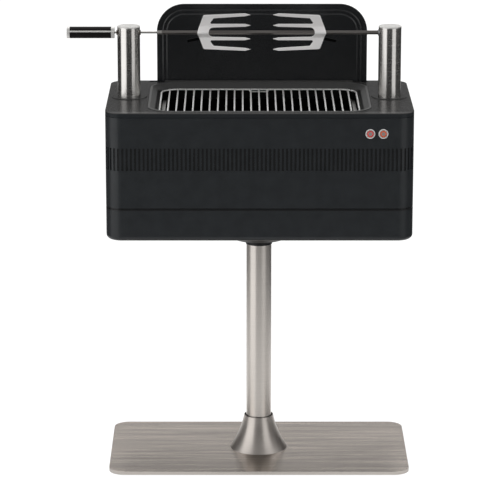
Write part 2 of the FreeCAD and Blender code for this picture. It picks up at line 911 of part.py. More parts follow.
def make_body_shell():
    height = skirt_bottom - S.skirt_gap - shell_bottom
    blank = new_body("body_shell_blank", shell_bottom, finished=False)
    pad_ring(blank, 0, height, 0, S.shell_wall)
    reach_x = S.board_width / 2 - S.standoff_inset
    reach_z = S.board_height / 2 - S.standoff_inset
    level = button_z - shell_bottom
    standoffs = sketch_on(blank, "XZ_Plane", -board_front)
    for x, z in mirrored_spots(reach_x, reach_z):
        draw_circle(standoffs, S.standoff_diameter / 2, button_middle + x, level + z)
    pad(blank, standoffs, board_front - front_inside)
    holes = [(x, level) for x in button_spots.values()]
    drill(blank, "XZ_Plane", holes, S.bezel_neck / 2 + S.fit, -front_inside, S.shell_wall)
    screw_holes = [(x, z - shell_bottom) for x, z in shell_screw_spots()]
    drill(blank, "XZ_Plane", screw_holes, S.shell_screw / 2 + S.fit, -rear_face, S.shell_wall)

    depth = 4 * float(S.shell_wall)
    width, tall = float(S.vent_width), float(S.vent_height)
    bottom = float(S.body_bottom + S.vent_bottom)
    slots = []
    for point, facing in vent_stations():
        slot = Part.makeBox(depth, width, tall, FreeCAD.Vector(-depth / 2, -width / 2, 0))
        turned = FreeCAD.Rotation(FreeCAD.Vector(0, 0, 1), facing)
        slot.Placement = FreeCAD.Placement(FreeCAD.Vector(point.x, point.y, bottom), turned)
        slots.append(slot)
    vents = doc.addObject("Part::Feature", "vent_slots")
    vents.Shape = Part.makeCompound(slots)
    keep(cut("vented_shell", blank, vents), "body_shell")


def draw_around_rim(sketch, inset):
    """The opening's outline, drawn in by an inset."""
    draw_rounded(sketch, rim_width - 2 * inset, rim_depth - 2 * inset, S.rim_corner - inset, rim_middle)


def make_deck():
    body = new_body("deck", skirt_bottom)
    outline = sketch_on(body, "XY_Plane")
    draw_body_outline(outline)
    pad(body, outline, S.skirt_height)
    round_edges(body, S.deck_edge, at_level("z", S.skirt_height))
    under = S.skirt_height - S.deck_thickness
    hollow = sketch_on(body, "XY_Plane")
    draw_body_outline(hollow, S.shell_wall)
    pocket(body, hollow, under)
    pad_ring(body, -S.tongue_height, S.tongue_height + under, tongue_outside, tongue_inside)
    opening = sketch_on(body, "XY_Plane", under)
    draw_rounded(opening, rim_width + 2 * S.seat_gap, rim_depth + 2 * S.seat_gap,
                 S.rim_corner + S.seat_gap, rim_middle)
    pocket(body, opening, S.deck_thickness)
    groove = sketch_on(body, "XY_Plane", S.skirt_height - S.rim_groove_depth)
    draw_around_rim(groove, -S.rim_flange)
    draw_around_rim(groove, -S.rim_flange - S.rim_groove)
    pocket(body, groove, S.rim_groove_depth)
    slot = sketch_on(body, "XY_Plane", under)
    draw_rectangle(slot, (-slot_half, slot_front), (slot_half, slot_back))
    pocket(body, slot, S.deck_thickness)
    post_spots = [(-post_x, 0), (post_x, 0)]
    drill(body, "XY_Plane", post_spots, S.guide_bore / 2 + S.seat_gap, under, S.deck_thickness)
    stud_length = S.rim_drop - S.deck_thickness + S.firebox_sheet + S.nut_height
    studs = sketch_on(body, "XY_Plane", under - stud_length)
    for x, y in hanger_spots:
        draw_circle(studs, S.hanger_stud / 2, x, y)
    pad(body, studs, stud_length)


# Cooking opening, firebox and tray

def make_deck_rim():
    body = new_body("deck_rim", deck_top)
    flange = sketch_on(body, "XY_Plane")
    draw_around_rim(flange, -S.rim_flange)
    pad(body, flange, S.rim_flange_height)
    lip = sketch_on(body, "XY_Plane")
    reach = rim_width / 2 - S.rim_corner / 2
    draw_rectangle(lip, (-reach, rim_back), (reach, rim_back + S.rim_flange))
    pad(body, lip, S.rim_lip_height)
    top, bottom = sketch_on(body, "XY_Plane"), sketch_on(body, "XY_Plane", -S.rim_drop)
    draw_around_rim(top, 0)
    draw_around_rim(bottom, S.rim_inset)
    loft(body, "Additive", top, bottom)
    mouth = sketch_on(body, "XY_Plane")
    draw_around_rim(mouth, S.rim_wall)
    pocket(body, mouth, S.rim_flange_height)
    top, bottom = sketch_on(body, "XY_Plane"), sketch_on(body, "XY_Plane", -S.rim_drop)
    draw_around_rim(top, S.rim_wall)
    draw_around_rim(bottom, S.rim_inset + S.rim_wall)
    loft(body, "Subtractive", top, bottom)


def draw_well(sketch, inset):
    """The firebox's inner outline, drawn in by an inset."""
    draw_rounded(sketch, well_width - 2 * inset, well_depth - 2 * inset, well_corner - inset / 2, rim_middle)


def make_firebox():
    sheet_thickness = S.firebox_sheet
    body = new_body("firebox", ledge_top)
    flange = sketch_on(body, "XY_Plane", -sheet_thickness)
    draw_rounded(flange, rim_width + 2 * S.firebox_flange_side, rim_depth + 2 * S.rim_flange,
                 S.rim_corner, rim_middle)
    pad(body, flange, sheet_thickness)
    drill(body, "XY_Plane", hanger_spots, S.hanger_stud / 2 + S.seat_gap, -sheet_thickness, sheet_thickness)
    top = sketch_on(body, "XY_Plane", -sheet_thickness)
    bottom = sketch_on(body, "XY_Plane", -S.firebox_depth)
    draw_well(top, -sheet_thickness)
    draw_well(bottom, S.firebox_draft - sheet_thickness)
    loft(body, "Additive", top, bottom)
    top = sketch_on(body, "XY_Plane")
    bottom = sketch_on(body, "XY_Plane", sheet_thickness - S.firebox_depth)
    draw_well(top, 0)
    draw_well(bottom, S.firebox_draft)
    loft(body, "Subtractive", top, bottom)
    element_z = sheet_thickness - S.firebox_depth + S.element_height
    spots = [(rim_middle + side * S.element_spread / 2, element_z) for side in (-1, 1)]
    drill(body, "YZ_Plane", spots, S.element_diameter / 2 + S.seat_gap, well_width / 4, well_width / 2)


def make_hangers():
    bore = S.hanger_stud / 2 + S.fit
    spacer = (S.spacer_diameter / 2, ledge_top, deck_under)
    spacers = pegs("firebox_spacers", "XY_Plane", hanger_spots, [spacer])
    drill(spacers, "XY_Plane", hanger_spots, bore, ledge_top, deck_under - ledge_top)
    under = ledge_top - S.firebox_sheet
    nut = (S.nut_diameter / 2, under - S.nut_height, under)
    nuts = pegs("firebox_nuts", "XY_Plane", hanger_spots, [nut])
    drill(nuts, "XY_Plane", hanger_spots, bore, under - S.nut_height, S.nut_height)


def make_heat_shield():
    top = ledge_top - S.firebox_sheet
    body = new_body("heat_shield", top - S.heat_shield_height)
    outline = sketch_on(body, "XY_Plane")
    for inset in (0, S.thin_sheet):
        spread = S.heat_shield_gap - inset
        draw_rounded(outline, well_width + 2 * spread, well_depth + 2 * spread,
                     well_corner + spread, rim_middle)
    pad(body, outline, S.heat_shield_height)


def make_charcoal_tray():
    body = new_body("charcoal_tray", tray_bottom)
    top, bottom = sketch_on(body, "XY_Plane", S.tray_height), sketch_on(body, "XY_Plane")
    wall_inset = S.tray_gap + S.tray_lip
    draw_well(top, wall_inset)
    draw_well(bottom, wall_inset + S.tray_draft)
    loft(body, "Additive", bottom, top)
    lip = sketch_on(body, "XY_Plane", S.tray_height - S.tray_sheet)
    draw_well(lip, S.tray_gap)
    pad(body, lip, S.tray_sheet)
    top, bottom = sketch_on(body, "XY_Plane", S.tray_height), sketch_on(body, "XY_Plane", S.tray_sheet)
    draw_well(top, wall_inset + S.tray_sheet)
    draw_well(bottom, wall_inset + S.tray_draft + S.tray_sheet)
    loft(body, "Subtractive", bottom, top)
    reach_x = well_width / 2 - wall_inset - S.tray_draft - S.tray_foot_diameter
    reach_y = well_depth / 2 - wall_inset - S.tray_draft - S.tray_foot_diameter
    feet_height = tray_bottom - firebox_floor
    feet = sketch_on(body, "XY_Plane", -feet_height)
    for x, y in mirrored_spots(reach_x, reach_y):
        draw_circle(feet, S.tray_foot_diameter / 2, x, rim_middle + y)
    pad(body, feet, feet_height + S.tray_sheet)
    slots = sketch_on(body, "XY_Plane")
    for column in range(TRAY_SLOT_COLUMNS):
        for line in range(TRAY_SLOT_ROWS):
            x = S.tray_slot_pitch * (column - (TRAY_SLOT_COLUMNS - 1) / 2)
            y = rim_middle + S.tray_row_pitch * (line - (TRAY_SLOT_ROWS - 1) / 2)
            draw_rectangle(slots, (x - S.tray_slot_length / 2, y - S.tray_slot_width / 2),
                           (x + S.tray_slot_length / 2, y + S.tray_slot_width / 2))
    pocket(body, slots, S.tray_sheet)


def make_ignition_element():
    """A heating rod in a long U under the tray, its two ends held in a block outside the firebox."""
    element_z = firebox_floor + S.element_height
    block_start = well_width / 2 + S.firebox_sheet + S.seat_gap
    block_end = block_start + S.element_block_length
    radius, bend = float(S.element_diameter) / 2, float(S.element_spread) / 2
    start, turn_x, middle = float(block_end), -float(S.element_reach), float(rim_middle)
    level = float(element_z)
    near = FreeCAD.Vector(start, middle - bend, level)
    near_turn = FreeCAD.Vector(turn_x, middle - bend, level)
    tip = FreeCAD.Vector(turn_x - bend, middle, level)
    far_turn = FreeCAD.Vector(turn_x, middle + bend, level)
    far = FreeCAD.Vector(start, middle + bend, level)
    edges = [Part.LineSegment(near, near_turn).toShape(), Part.Arc(near_turn, tip, far_turn).toShape(),
             Part.LineSegment(far_turn, far).toShape()]
    ring = Part.Wire(Part.makeCircle(radius, near, FreeCAD.Vector(1, 0, 0)))
    element = doc.addObject("Part::Feature", "ignition_element")
    element.Shape = Part.Wire(edges).makePipeShell([ring], True, False)
    keep(element, "ignition_element")

    low_z = element_z - S.element_block_height / 2
    low = (block_start, rim_middle - S.element_block_width / 2, low_z)
    high = (block_end, rim_middle + S.element_block_width / 2, low_z + S.element_block_height)
    holes = [
        cylinder("element_hole", S.element_diameter / 2 + S.fit, S.element_block_length,
                 block_start, rim_middle + side * S.element_spread / 2, element_z, "x")
        for side in (-1, 1)
    ]
    keep(cut("terminal_block", block("terminal_blank", low, high), *holes), "element_block")


def make_cooking_grate():
    """A wire frame with the bars welded across it."""
    frame_radius = S.grate_frame_wire / 2
    gap = S.rim_inset + S.grate_gap
    width, depth = rim_width - 2 * gap, rim_depth - 2 * gap
    body = new_body("cooking_grate", ledge_top + frame_radius)
    path = sketch_on(body, "XY_Plane")
    draw_rounded(path, width, depth, S.grate_corner, rim_middle)
    ring = sketch_on(body, "YZ_Plane")
    draw_circle(ring, frame_radius, rim_middle - depth / 2, 0)
    frame = body.newObject("PartDesign::AdditivePipe", "grate_frame")
    frame.Profile = ring
    frame.Spine = (path, [f"Edge{i}" for i in range(1, 9)])
    body.Tip = frame
    count = int(float(width - 2 * S.grate_side) / float(S.grate_pitch)) + 1
    bars = sketch_on(body, "XZ_Plane", -(rim_middle + depth / 2))
    for i in range(count):
        draw_circle(bars, S.grate_wire / 2, S.grate_pitch * (i - (count - 1) / 2), 0)
    pad(body, bars, depth)


# Cover panel that stands in a pocket behind the opening

def make_cover_panel():
    body = new_body("cover_panel", cover_bottom + S.cover_height / 2, S.cover_shift, cover_back)
    steps = [(0, S.cover_sheet), (S.cover_step_one, S.cover_sheet + S.cover_step),
             (S.cover_step_two, S.cover_sheet + 2 * S.cover_step)]
    for inset, depth in steps:
        face = sketch_on(body, "XZ_Plane")
        draw_rounded(face, S.cover_width - 2 * inset, S.cover_height - 2 * inset, S.cover_corner - inset)
        pad(body, face, depth)
    for inset, depth in steps[1:]:
        inner = inset + S.cover_sheet
        hollow = sketch_on(body, "XZ_Plane")
        draw_rounded(hollow, S.cover_width - 2 * inner, S.cover_height - 2 * inner, S.cover_corner - inner)
        pocket(body, hollow, depth - S.cover_sheet)
    for inset, depth in steps:
        radius = S.cover_step_edge if inset else S.cover_edge
        round_edges(body, radius, outer_edge_at(depth, S.cover_width / 2 - inset))


def outer_edge_at(depth, half_width):
    """A test for the edges round one step of the panel."""
    in_plane = at_level("y", -depth)

    def wanted(edge):
        middle = edge.CenterOfMass
        reach_z = half_width + (S.cover_height - S.cover_width) / 2
        at_side = abs(abs(middle.x) - float(half_width)) < float(S.cover_corner) / 2
        at_end = abs(abs(middle.z) - float(reach_z)) < float(S.cover_corner) / 2
        reach = max(abs(edge.BoundBox.XMin), abs(edge.BoundBox.XMax))
        tall = max(abs(edge.BoundBox.ZMin), abs(edge.BoundBox.ZMax))
        on_outline = abs(reach - float(half_width)) < 1e-3 or abs(tall - float(reach_z)) < 1e-3
        return in_plane(edge) and (at_side or at_end) and on_outline
    return wanted


def make_cover_pocket():
    wall = S.thin_sheet
    bottom = cover_bottom - wall
    outside = block("pocket_outside", (-slot_half - wall, slot_front - wall, bottom),
                    (slot_half + wall, slot_back + wall, deck_under))
    inside = block("pocket_inside", (-slot_half, slot_front, cover_bottom),
                   (slot_half, slot_back, deck_under))
    keep(cut("pocket_sheet", outside, inside), "cover_pocket")


# Posts and their guides

def turned(label, x, z, points):
    """A round piece about an upright line, from its half section."""
    body = new_body(label, z, x)
    section = sketch_on(body, "XZ_Plane")
    draw_polygon(section, points)
    turn(body, section)
    return body


def make_post(side, name):
    x = post_x * side
    tube_length = S.post_length - S.cap_thickness
    outside = cylinder(f"{name}_post_outside", post_radius, tube_length, x, 0, post_bottom)
    bore = cylinder(f"{name}_post_bore", post_bore, S.post_length, x, 0, post_bottom)
    if side < 0:
        hole_radius, hole_start = S.bushing_diameter / 2 + S.fit, x - post_radius
        hole_length = S.post_diameter
    else:
        hole_radius, hole_start = S.socket_diameter / 2 + S.running_gap, x - post_radius
        hole_length = post_radius
    hole = cylinder(f"{name}_post_hole", hole_radius, hole_length, hole_start, 0, spit_z, "x")
    keep(cut(f"{name}_post_tube", outside, bore, hole), f"{name}_post")

    plug = post_bore - S.fit
    edge = S.cap_edge
    turned(f"{name}_post_cap", x, post_top - S.cap_thickness, [
        (0, -S.cap_plug), (plug, -S.cap_plug), (plug, 0), (post_radius, 0),
        (post_radius, S.cap_thickness - edge), (post_radius - edge, S.cap_thickness), (0, S.cap_thickness),
    ])
    neck_inner = post_radius + S.running_gap
    neck_outer = S.guide_bore / 2 - S.fit
    turned(f"{name}_post_collar", x, deck_top, [
        (neck_inner, -S.collar_neck), (neck_outer, -S.collar_neck), (neck_outer, 0),
        (S.collar_diameter / 2, 0), (S.collar_diameter / 2 - S.collar_thickness, S.collar_thickness),
        (neck_inner, S.collar_thickness),
    ])
    guide_outer = S.guide_bore / 2 + S.guide_wall
    height = deck_under - floor_top
    guide = turned(f"{name}_guide", x, floor_top, [
        (S.guide_bore / 2, 0), (S.guide_flange / 2, 0), (S.guide_flange / 2, S.guide_flange_thickness),
        (guide_outer, S.guide_flange_thickness), (guide_outer, height), (S.guide_bore / 2, height),
    ])
    drill(guide, "XY_Plane", bolt_circle(S.guide_screw_circle, GUIDE_SCREWS),
          S.guide_screw / 2 + S.fit, 0, S.guide_flange_thickness)
    slider_radius = S.guide_bore / 2 - S.running_gap
    turned(f"{name}_post_slider", x, post_bottom, [
        (0, -S.slider_height), (slider_radius, -S.slider_height), (slider_radius, 0),
        (plug, 0), (plug, S.slider_plug), (0, S.slider_plug),
    ])


def make_guide_screws():
    head_bottom = S.body_bottom - S.guide_screw_head_height
    pegs("guide_screws", "XY_Plane", guide_spots, [
        (S.guide_screw_head / 2, head_bottom, S.body_bottom),
        (S.guide_screw / 2, S.body_bottom, floor_top + S.guide_flange_thickness),
    ])


# Spit, its bearing and its drive

def make_bushing():
    start = -post_x - post_radius - S.bushing_proud
    length = S.post_diameter + 2 * S.bushing_proud
    outside = cylinder("bushing_outside", S.bushing_diameter / 2, length, start, 0, spit_z, "x")
    bore = cylinder("bushing_bore", S.spit_journal / 2 + S.fit, length, start, 0, spit_z, "x")
    keep(cut("bushing", outside, bore), "spit_bushing")


def make_drive():
    shaft_end = socket_end + S.drive_shaft_length
    head = cylinder("socket_head", S.socket_diameter / 2, S.socket_length, socket_start, 0, spit_z, "x")
    shaft = cylinder("socket_shaft", S.drive_shaft / 2, S.drive_shaft_length, socket_end, 0, spit_z, "x")
    square = square_bar("socket_square", S.spit_square + 2 * S.seat_gap, socket_start,
                        socket_start + S.socket_depth, spit_z)
    keep(cut("drive_coupling", fuse("drive_blank", head, shaft), square), "drive_socket")

    gearbox_top = spit_z + S.gearbox_above
    gearbox_bottom = gearbox_top - S.gearbox_height
    motor_bottom = gearbox_bottom - S.motor_length
    gearbox = cylinder("gearbox", S.gearbox_diameter / 2, S.gearbox_height, post_x, 0, gearbox_bottom)
    can = cylinder("motor_can", S.motor_diameter / 2, S.motor_length, post_x, 0, motor_bottom)
    recess_start = post_x - S.gearbox_diameter / 2
    recess = cylinder("gearbox_recess", S.socket_diameter / 2 + S.running_gap,
                      socket_end + S.running_gap - recess_start, recess_start, 0, spit_z, "x")
    bearing = cylinder("gearbox_bearing", S.drive_shaft / 2 + S.fit,
                       shaft_end + S.running_gap - recess_start, recess_start, 0, spit_z, "x")
    keep(cut("motor", fuse("motor_blank", gearbox, can), recess, bearing), "gear_motor")

    carrier_z = motor_bottom + S.carrier_raise
    ring = cylinder("carrier_outside", post_bore - S.fit, S.carrier_height, post_x, 0, carrier_z)
    hole = cylinder("carrier_bore", S.motor_diameter / 2 + S.fit, S.carrier_height, post_x, 0, carrier_z)
    keep(cut("carrier", ring, hole), "motor_carrier")


def make_spit():
    handle_end = -post_x - post_radius - S.handle_gap
    rod_end = socket_start + S.socket_depth - S.seat_gap
    journal_start = handle_end - S.tang_entry
    journal = cylinder("spit_journal", S.spit_journal / 2, journal_end - journal_start,
                       journal_start, 0, spit_z, "x")
    bar = square_bar("spit_bar", S.spit_square, journal_end, rod_end, spit_z)
    keep(fuse("rod", journal, bar), "spit_rod")

    radius = S.handle_diameter / 2
    start = handle_end - S.handle_length
    cap = cylinder("handle_cap", radius, S.handle_cap, start, 0, spit_z, "x")
    ferrule_start = handle_end - S.handle_ferrule
    ferrule = cylinder("handle_ferrule", radius, S.handle_ferrule, ferrule_start, 0, spit_z, "x")
    tang = rolled_slab("handle_tang", start + S.handle_cap, ferrule_start, radius, S.tang_thickness)
    tang_bore = cylinder("handle_bore", S.spit_journal / 2 + S.fit, S.tang_entry,
                         handle_end - S.tang_entry, 0, spit_z, "x")
    grip = cylinder("handle_round", radius, ferrule_start - start - S.handle_cap,
                    start + S.handle_cap, 0, spit_z, "x")
    trimmed = doc.addObject("Part::MultiCommon", "handle_tang_round")
    trimmed.Shapes = [tang, grip]
    core = fuse("handle_metal", cap, ferrule, trimmed)
    keep(cut("handle_frame", core, tang_bore), "handle_core")
    scale = cylinder("scale_round", radius, ferrule_start - start - S.handle_cap,
                     start + S.handle_cap, 0, spit_z, "x")
    gap = rolled_slab("scale_gap", start, handle_end, 2 * radius, S.tang_thickness)
    keep(cut("grip_scales", scale, gap), "handle_scales")


# Meat forks

def fork_outline(side):
    """The fork's face from its hub at the origin, tines towards the middle of the spit."""
    shoulder_x = S.fork_length - S.tine_point
    half = S.tine_width / 2

    def tine(tip):
        return [(shoulder_x, tip + half), (S.fork_length, tip), (shoulder_x, tip - half)]
    upper = [(S.fork_shoulder, S.fork_half_height), *tine(S.outer_tine_tip)]
    upper += [(S.fork_outer_web, S.outer_notch), (S.fork_inner_web, S.inner_notch)]
    upper += [*tine(S.inner_tine_tip), (S.fork_web, S.centre_notch)]
    lower = [(x, -z) for x, z in reversed(upper)]
    return [(0, 0)] + [(x * side, z) for x, z in upper + lower]


def across_at(places):
    """A test for straight edges through the sheet at given distances from the hub."""
    def wanted(edge):
        through = edge.BoundBox.YLength > 1 and edge.BoundBox.XLength < 1e-4
        return through and any(abs(abs(edge.CenterOfMass.x) - float(x)) < 1e-4 for x in places)
    return wanted


def along_at(places):
    """A test for straight edges along the spit at given places across it."""
    def wanted(edge):
        box, middle = edge.BoundBox, edge.CenterOfMass
        off = [math.hypot(middle.y - float(y), abs(middle.z) - float(z)) for y, z in places]
        return box.XLength > 1 and box.YLength < 1e-4 and min(off) < 1e-4
    return wanted


def make_fork(side, name, hub_x):
    """A bent sheet: flat wings with four tines and a creased middle that hugs the square rod."""
    hub = hub_x * side
    tip_side = -side
    face = new_body(f"{name}_fork_face", spit_z, hub, finished=False)
    outline = sketch_on(face, "XZ_Plane")
    draw_polygon(outline, fork_outline(tip_side))
    pad(face, outline, S.fork_length, both=True)
    corners = [
        (S.notch_radius, [S.fork_inner_web, S.fork_outer_web]),
        (S.centre_notch_radius, [S.fork_web]),
        (S.fork_corner_radius, [S.fork_shoulder]),
        (S.fork_nose_radius, [0]),
    ]
    for radius, places in corners:
        round_edges(face, radius, across_at(places))

    section = new_body(f"{name}_fork_section", spit_z, hub, finished=False)
    band = sketch_on(section, "YZ_Plane")
    front, back = S.fork_wing, S.fork_wing + S.fork_sheet
    reach = S.outer_tine_tip + S.tine_width
    crease_front = front - S.fork_crease
    crease_back = crease_front + S.fork_sheet * ROOT_TWO
    foot_back = back - crease_back
    draw_polygon(band, [
        (front, reach), (front, S.fork_crease), (crease_front, 0), (front, -S.fork_crease), (front, -reach),
        (back, -reach), (back, -foot_back), (crease_back, 0), (back, foot_back), (back, reach),
    ])
    pad(section, band, S.fork_length, reverse=tip_side < 0)
    round_edges(section, S.fork_ridge_radius, along_at([(crease_front, 0)]))
    round_edges(section, S.fork_foot_radius, along_at([(front, S.fork_crease)]))
    fork = doc.addObject("Part::MultiCommon", f"{name}_fork_sheet")
    fork.Shapes = [face, section]
    keep(fork, f"{name}_fork")

    rod_back = S.spit_square * (ROOT_TWO / 2) + S.seat_gap
    clamp_back = back + S.clamp_plate
    near = hub + tip_side * S.clamp_start
    far = near + tip_side * S.clamp_length
    low_x, high_x = (near, far) if tip_side > 0 else (far, near)
    plate = block(f"{name}_clamp_plate", (low_x, back, spit_z - S.clamp_height / 2),
                  (high_x, clamp_back, spit_z + S.clamp_height / 2))
    nose = block(f"{name}_clamp_nose", (low_x, rod_back, spit_z - S.clamp_nose / 2),
                 (high_x, back, spit_z + S.clamp_nose / 2))
    pivot_x = near + tip_side * S.lever_pin_side
    pivot_z = spit_z - S.lever_drop
    pin = cylinder(f"{name}_lever_pin", S.lever_pin / 2, S.lever_pin_length,
                   pivot_x, clamp_back, pivot_z, "y")
    keep(fuse(f"{name}_clamp_body", plate, nose, pin), f"{name}_fork_clamp")

    lever_front = clamp_back + S.running_gap
    lever_hub = cylinder(f"{name}_lever_hub", S.lever_hub / 2, S.lever_thickness,
                         pivot_x, lever_front, pivot_z, "y")
    arm = doc.addObject("Part::Box", f"{name}_lever_arm")
    tie(arm, "Length", S.lever_length)
    tie(arm, "Width", S.lever_thickness)
    tie(arm, "Height", S.lever_height)
    tilt = 180 - LEVER_TILT if tip_side > 0 else LEVER_TILT
    turned_arm = FreeCAD.Rotation(FreeCAD.Vector(0, 1, 0), tilt)
    arm.Placement = FreeCAD.Placement(FreeCAD.Vector(), turned_arm)
    corner = turned_arm.multVec(FreeCAD.Vector(0, 0, -1))
    place(arm, pivot_x + S.lever_height * (corner.x / 2), lever_front,
          pivot_z + S.lever_height * (corner.z / 2))
    bore = cylinder(f"{name}_lever_bore", S.lever_pin / 2 + S.fit, S.lever_thickness,
                    pivot_x, lever_front, pivot_z, "y")
    keep(cut(f"{name}_lever", fuse(f"{name}_lever_blank", lever_hub, arm), bore), f"{name}_fork_lever")


# Buttons, electronics and fan

def make_buttons():
    bezels = []
    switches = []
    for name, x in button_spots.items():
        flange = cylinder(f"{name}_bezel_flange", S.bezel_diameter / 2, S.bezel_proud,
                          x, front_face - S.bezel_proud, button_z, "y")
        neck = cylinder(f"{name}_bezel_neck", S.bezel_neck / 2, S.bezel_depth, x, front_face, button_z, "y")
        bore = cylinder(f"{name}_bezel_bore", S.button_diameter / 2 + S.running_gap,
                        S.bezel_proud + S.bezel_depth, x, front_face - S.bezel_proud, button_z, "y")
        bezels.append(cut(f"{name}_bezel", fuse(f"{name}_bezel_blank", flange, neck), bore))

        face = front_face - S.bezel_proud - S.button_proud
        back = face + S.button_length
        stem_end = switch_front - S.button_travel - S.running_gap
        head = cylinder(f"{name}_button_head", S.button_diameter / 2, S.button_length, x, face, button_z, "y")
        stem = cylinder(f"{name}_button_stem", S.button_stem / 2, stem_end - back, x, back, button_z, "y")
        outer, inner = S.lens_outer / 2, S.lens_inner / 2
        ring_place = (S.lens_depth, x, face, button_z, "y")
        groove_outer = cylinder(f"{name}_groove_outer", outer, *ring_place)
        groove_inner = cylinder(f"{name}_groove_inner", inner, *ring_place)
        groove = cut(f"{name}_groove", groove_outer, groove_inner)
        keep(cut(f"{name}_push", fuse(f"{name}_push_blank", head, stem), groove), f"{name}_button")
        lens_outer = cylinder(f"{name}_lens_outer", outer - S.fit, *ring_place)
        lens_inner = cylinder(f"{name}_lens_inner", inner + S.fit, *ring_place)
        keep(cut(f"{name}_ring", lens_outer, lens_inner), f"{name}_lens")

        half = S.switch_size / 2
        switches.append(block(f"{name}_switch", (x - half, switch_front, button_z - half),
                              (x + half, board_front, button_z + half)))
    keep(group("bezels", bezels), "button_bezels")
    keep(group("switches", switches), "button_switches")
    half_width, half_height = S.board_width / 2, S.board_height / 2
    board = block("board", (button_middle - half_width, board_front, button_z - half_height),
                  (button_middle + half_width, board_front + S.board_thickness, button_z + half_height))
    keep(board, "control_board")


def make_fan():
    centre = fan_x
    half = S.fan_size / 2
    top = floor_top + S.fan_height
    casing = block("fan_casing", (centre - half, -half, floor_top), (centre + half, half, top))
    bore = cylinder("fan_bore", S.fan_bore / 2, S.fan_height, centre, 0, floor_top)
    ring = cut("fan_ring", casing, bore)
    boss = cylinder("fan_boss", S.fan_boss / 2, S.fan_boss_height, centre, 0, floor_top)
    boss_top = floor_top + S.fan_boss_height
    shaft = cylinder("fan_shaft", S.fan_shaft / 2, S.fan_shaft_length, centre, 0, boss_top)
    strut, strut_top = S.fan_strut / 2, floor_top + S.fan_strut
    long_strut = block("fan_strut_x", (centre - half, -strut, floor_top), (centre + half, strut, strut_top))
    cross_strut = block("fan_strut_y", (centre - strut, -half, floor_top), (centre + strut, half, strut_top))
    keep(fuse("fan_body", ring, boss, shaft, long_strut, cross_strut), "fan_frame")

    hub_bottom = boss_top + S.running_gap
    hub = cylinder("fan_hub", S.fan_hub / 2, S.fan_hub_height, centre, 0, hub_bottom)
    blades = []
    for i in range(FAN_BLADES):
        blade = doc.addObject("Part::Box", f"fan_blade_{i}")
        tie(blade, "Length", S.fan_blade_reach - S.fan_hub / 4)
        tie(blade, "Width", S.fan_blade_width)
        tie(blade, "Height", S.fan_blade_thickness)
        around = FreeCAD.Rotation(FreeCAD.Vector(0, 0, 1), 360 * i / FAN_BLADES)
        spin = around.multiply(FreeCAD.Rotation(FreeCAD.Vector(1, 0, 0), FAN_BLADE_TILT))
        blade.Placement = FreeCAD.Placement(FreeCAD.Vector(), spin)
        start = spin.multVec(FreeCAD.Vector(1, 0, 0))
        across = spin.multVec(FreeCAD.Vector(0, 1, 0))
        inner, shift = S.fan_hub / 4, S.fan_blade_width / 2
        place(blade, centre + inner * start.x - shift * across.x, inner * start.y - shift * across.y,
              hub_bottom + S.fan_hub_height / 2 - shift * across.z)
        blades.append(blade)
    hole = cylinder("fan_hub_bore", S.fan_shaft / 2 + S.fit, S.fan_hub_height, centre, 0, hub_bottom)
    keep(cut("fan_wheel", fuse("fan_wheel_blank", hub, *blades), hole), "fan_rotor")


def make_power():
    half_length, half_width = S.supply_length / 2, S.supply_width / 2
    supply = block("supply", (supply_x - half_length, -half_width, floor_top),
                   (supply_x + half_length, half_width, floor_top + S.supply_height))
    keep(supply, "power_supply")

    x, z = inlet_x, S.body_bottom + S.inlet_height
    back = rear_face + S.inlet_flange_thickness
    flange = block("inlet_flange", (x - S.inlet_flange_width / 2, rear_face, z - S.inlet_flange_height / 2),
                   (x + S.inlet_flange_width / 2, back, z + S.inlet_flange_height / 2))
    body = block("inlet_body", (x - S.inlet_width / 2, back - S.inlet_depth, z - S.inlet_tall / 2),
                 (x + S.inlet_width / 2, back, z + S.inlet_tall / 2))
    wall = S.inlet_wall
    recess_front = back - S.inlet_recess
    recess = block("inlet_recess",
                   (x - S.inlet_width / 2 + wall, recess_front, z - S.inlet_tall / 2 + wall),
                   (x + S.inlet_width / 2 - wall, back, z + S.inlet_tall / 2 - wall))
    housing = cut("inlet_housing", fuse("inlet_blank", flange, body), recess)
    blades = []
    spread = S.blade_spread
    for i, (across, up) in enumerate(((-1, -0.25), (1, -0.25), (0, 0.45))):
        low_x = x + spread * across - S.blade_width / 2
        low_z = z + spread * up - S.blade_height / 2
        low = (low_x, recess_front - wall, low_z)
        high = (low_x + S.blade_width, recess_front + S.blade_length, low_z + S.blade_height)
        blades.append(block(f"inlet_blade_{i}", low, high))
    keep(fuse("inlet", housing, *blades), "power_inlet")


# Make everything, check it and write it

make_base_plate()
make_base_feet()
make_pole_flange()
make_pole_tube()
make_base_cone()
make_neck()
make_base_shell()
make_shell_screws()
make_body_shell()
make_deck()
make_deck_rim()
make_firebox()
make_hangers()
make_heat_shield()
make_charcoal_tray()
make_ignition_element()
make_cooking_grate()
make_cover_panel()
make_cover_pocket()
make_post(-1, "left")
make_post(1, "right")
make_guide_screws()
make_bushing()
make_drive()
make_spit()
make_fork(-1, "left", S.left_fork_place)
make_fork(1, "right", S.right_fork_place)
make_buttons()
make_fan()
make_power()
doc.recompute()

failed = [item.Label for item in doc.Objects if "Invalid" in item.State or "Error" in item.State]
empty = [item.Label for item in pieces if item.Shape.isNull() or not item.Shape.isValid()]
if failed or empty:
    raise RuntimeError(f"failed: {failed} empty or invalid: {empty}")

os.makedirs("parts", exist_ok=True)
for item in pieces:
    item.Shape.exportStep(f"parts/{item.Label}.step")
    print(f"{item.Label}: {len(item.Shape.Solids)} solids, {item.Shape.Volume / 1000:.1f} cm3")
print(f"{len(pieces)} sub-parts written")
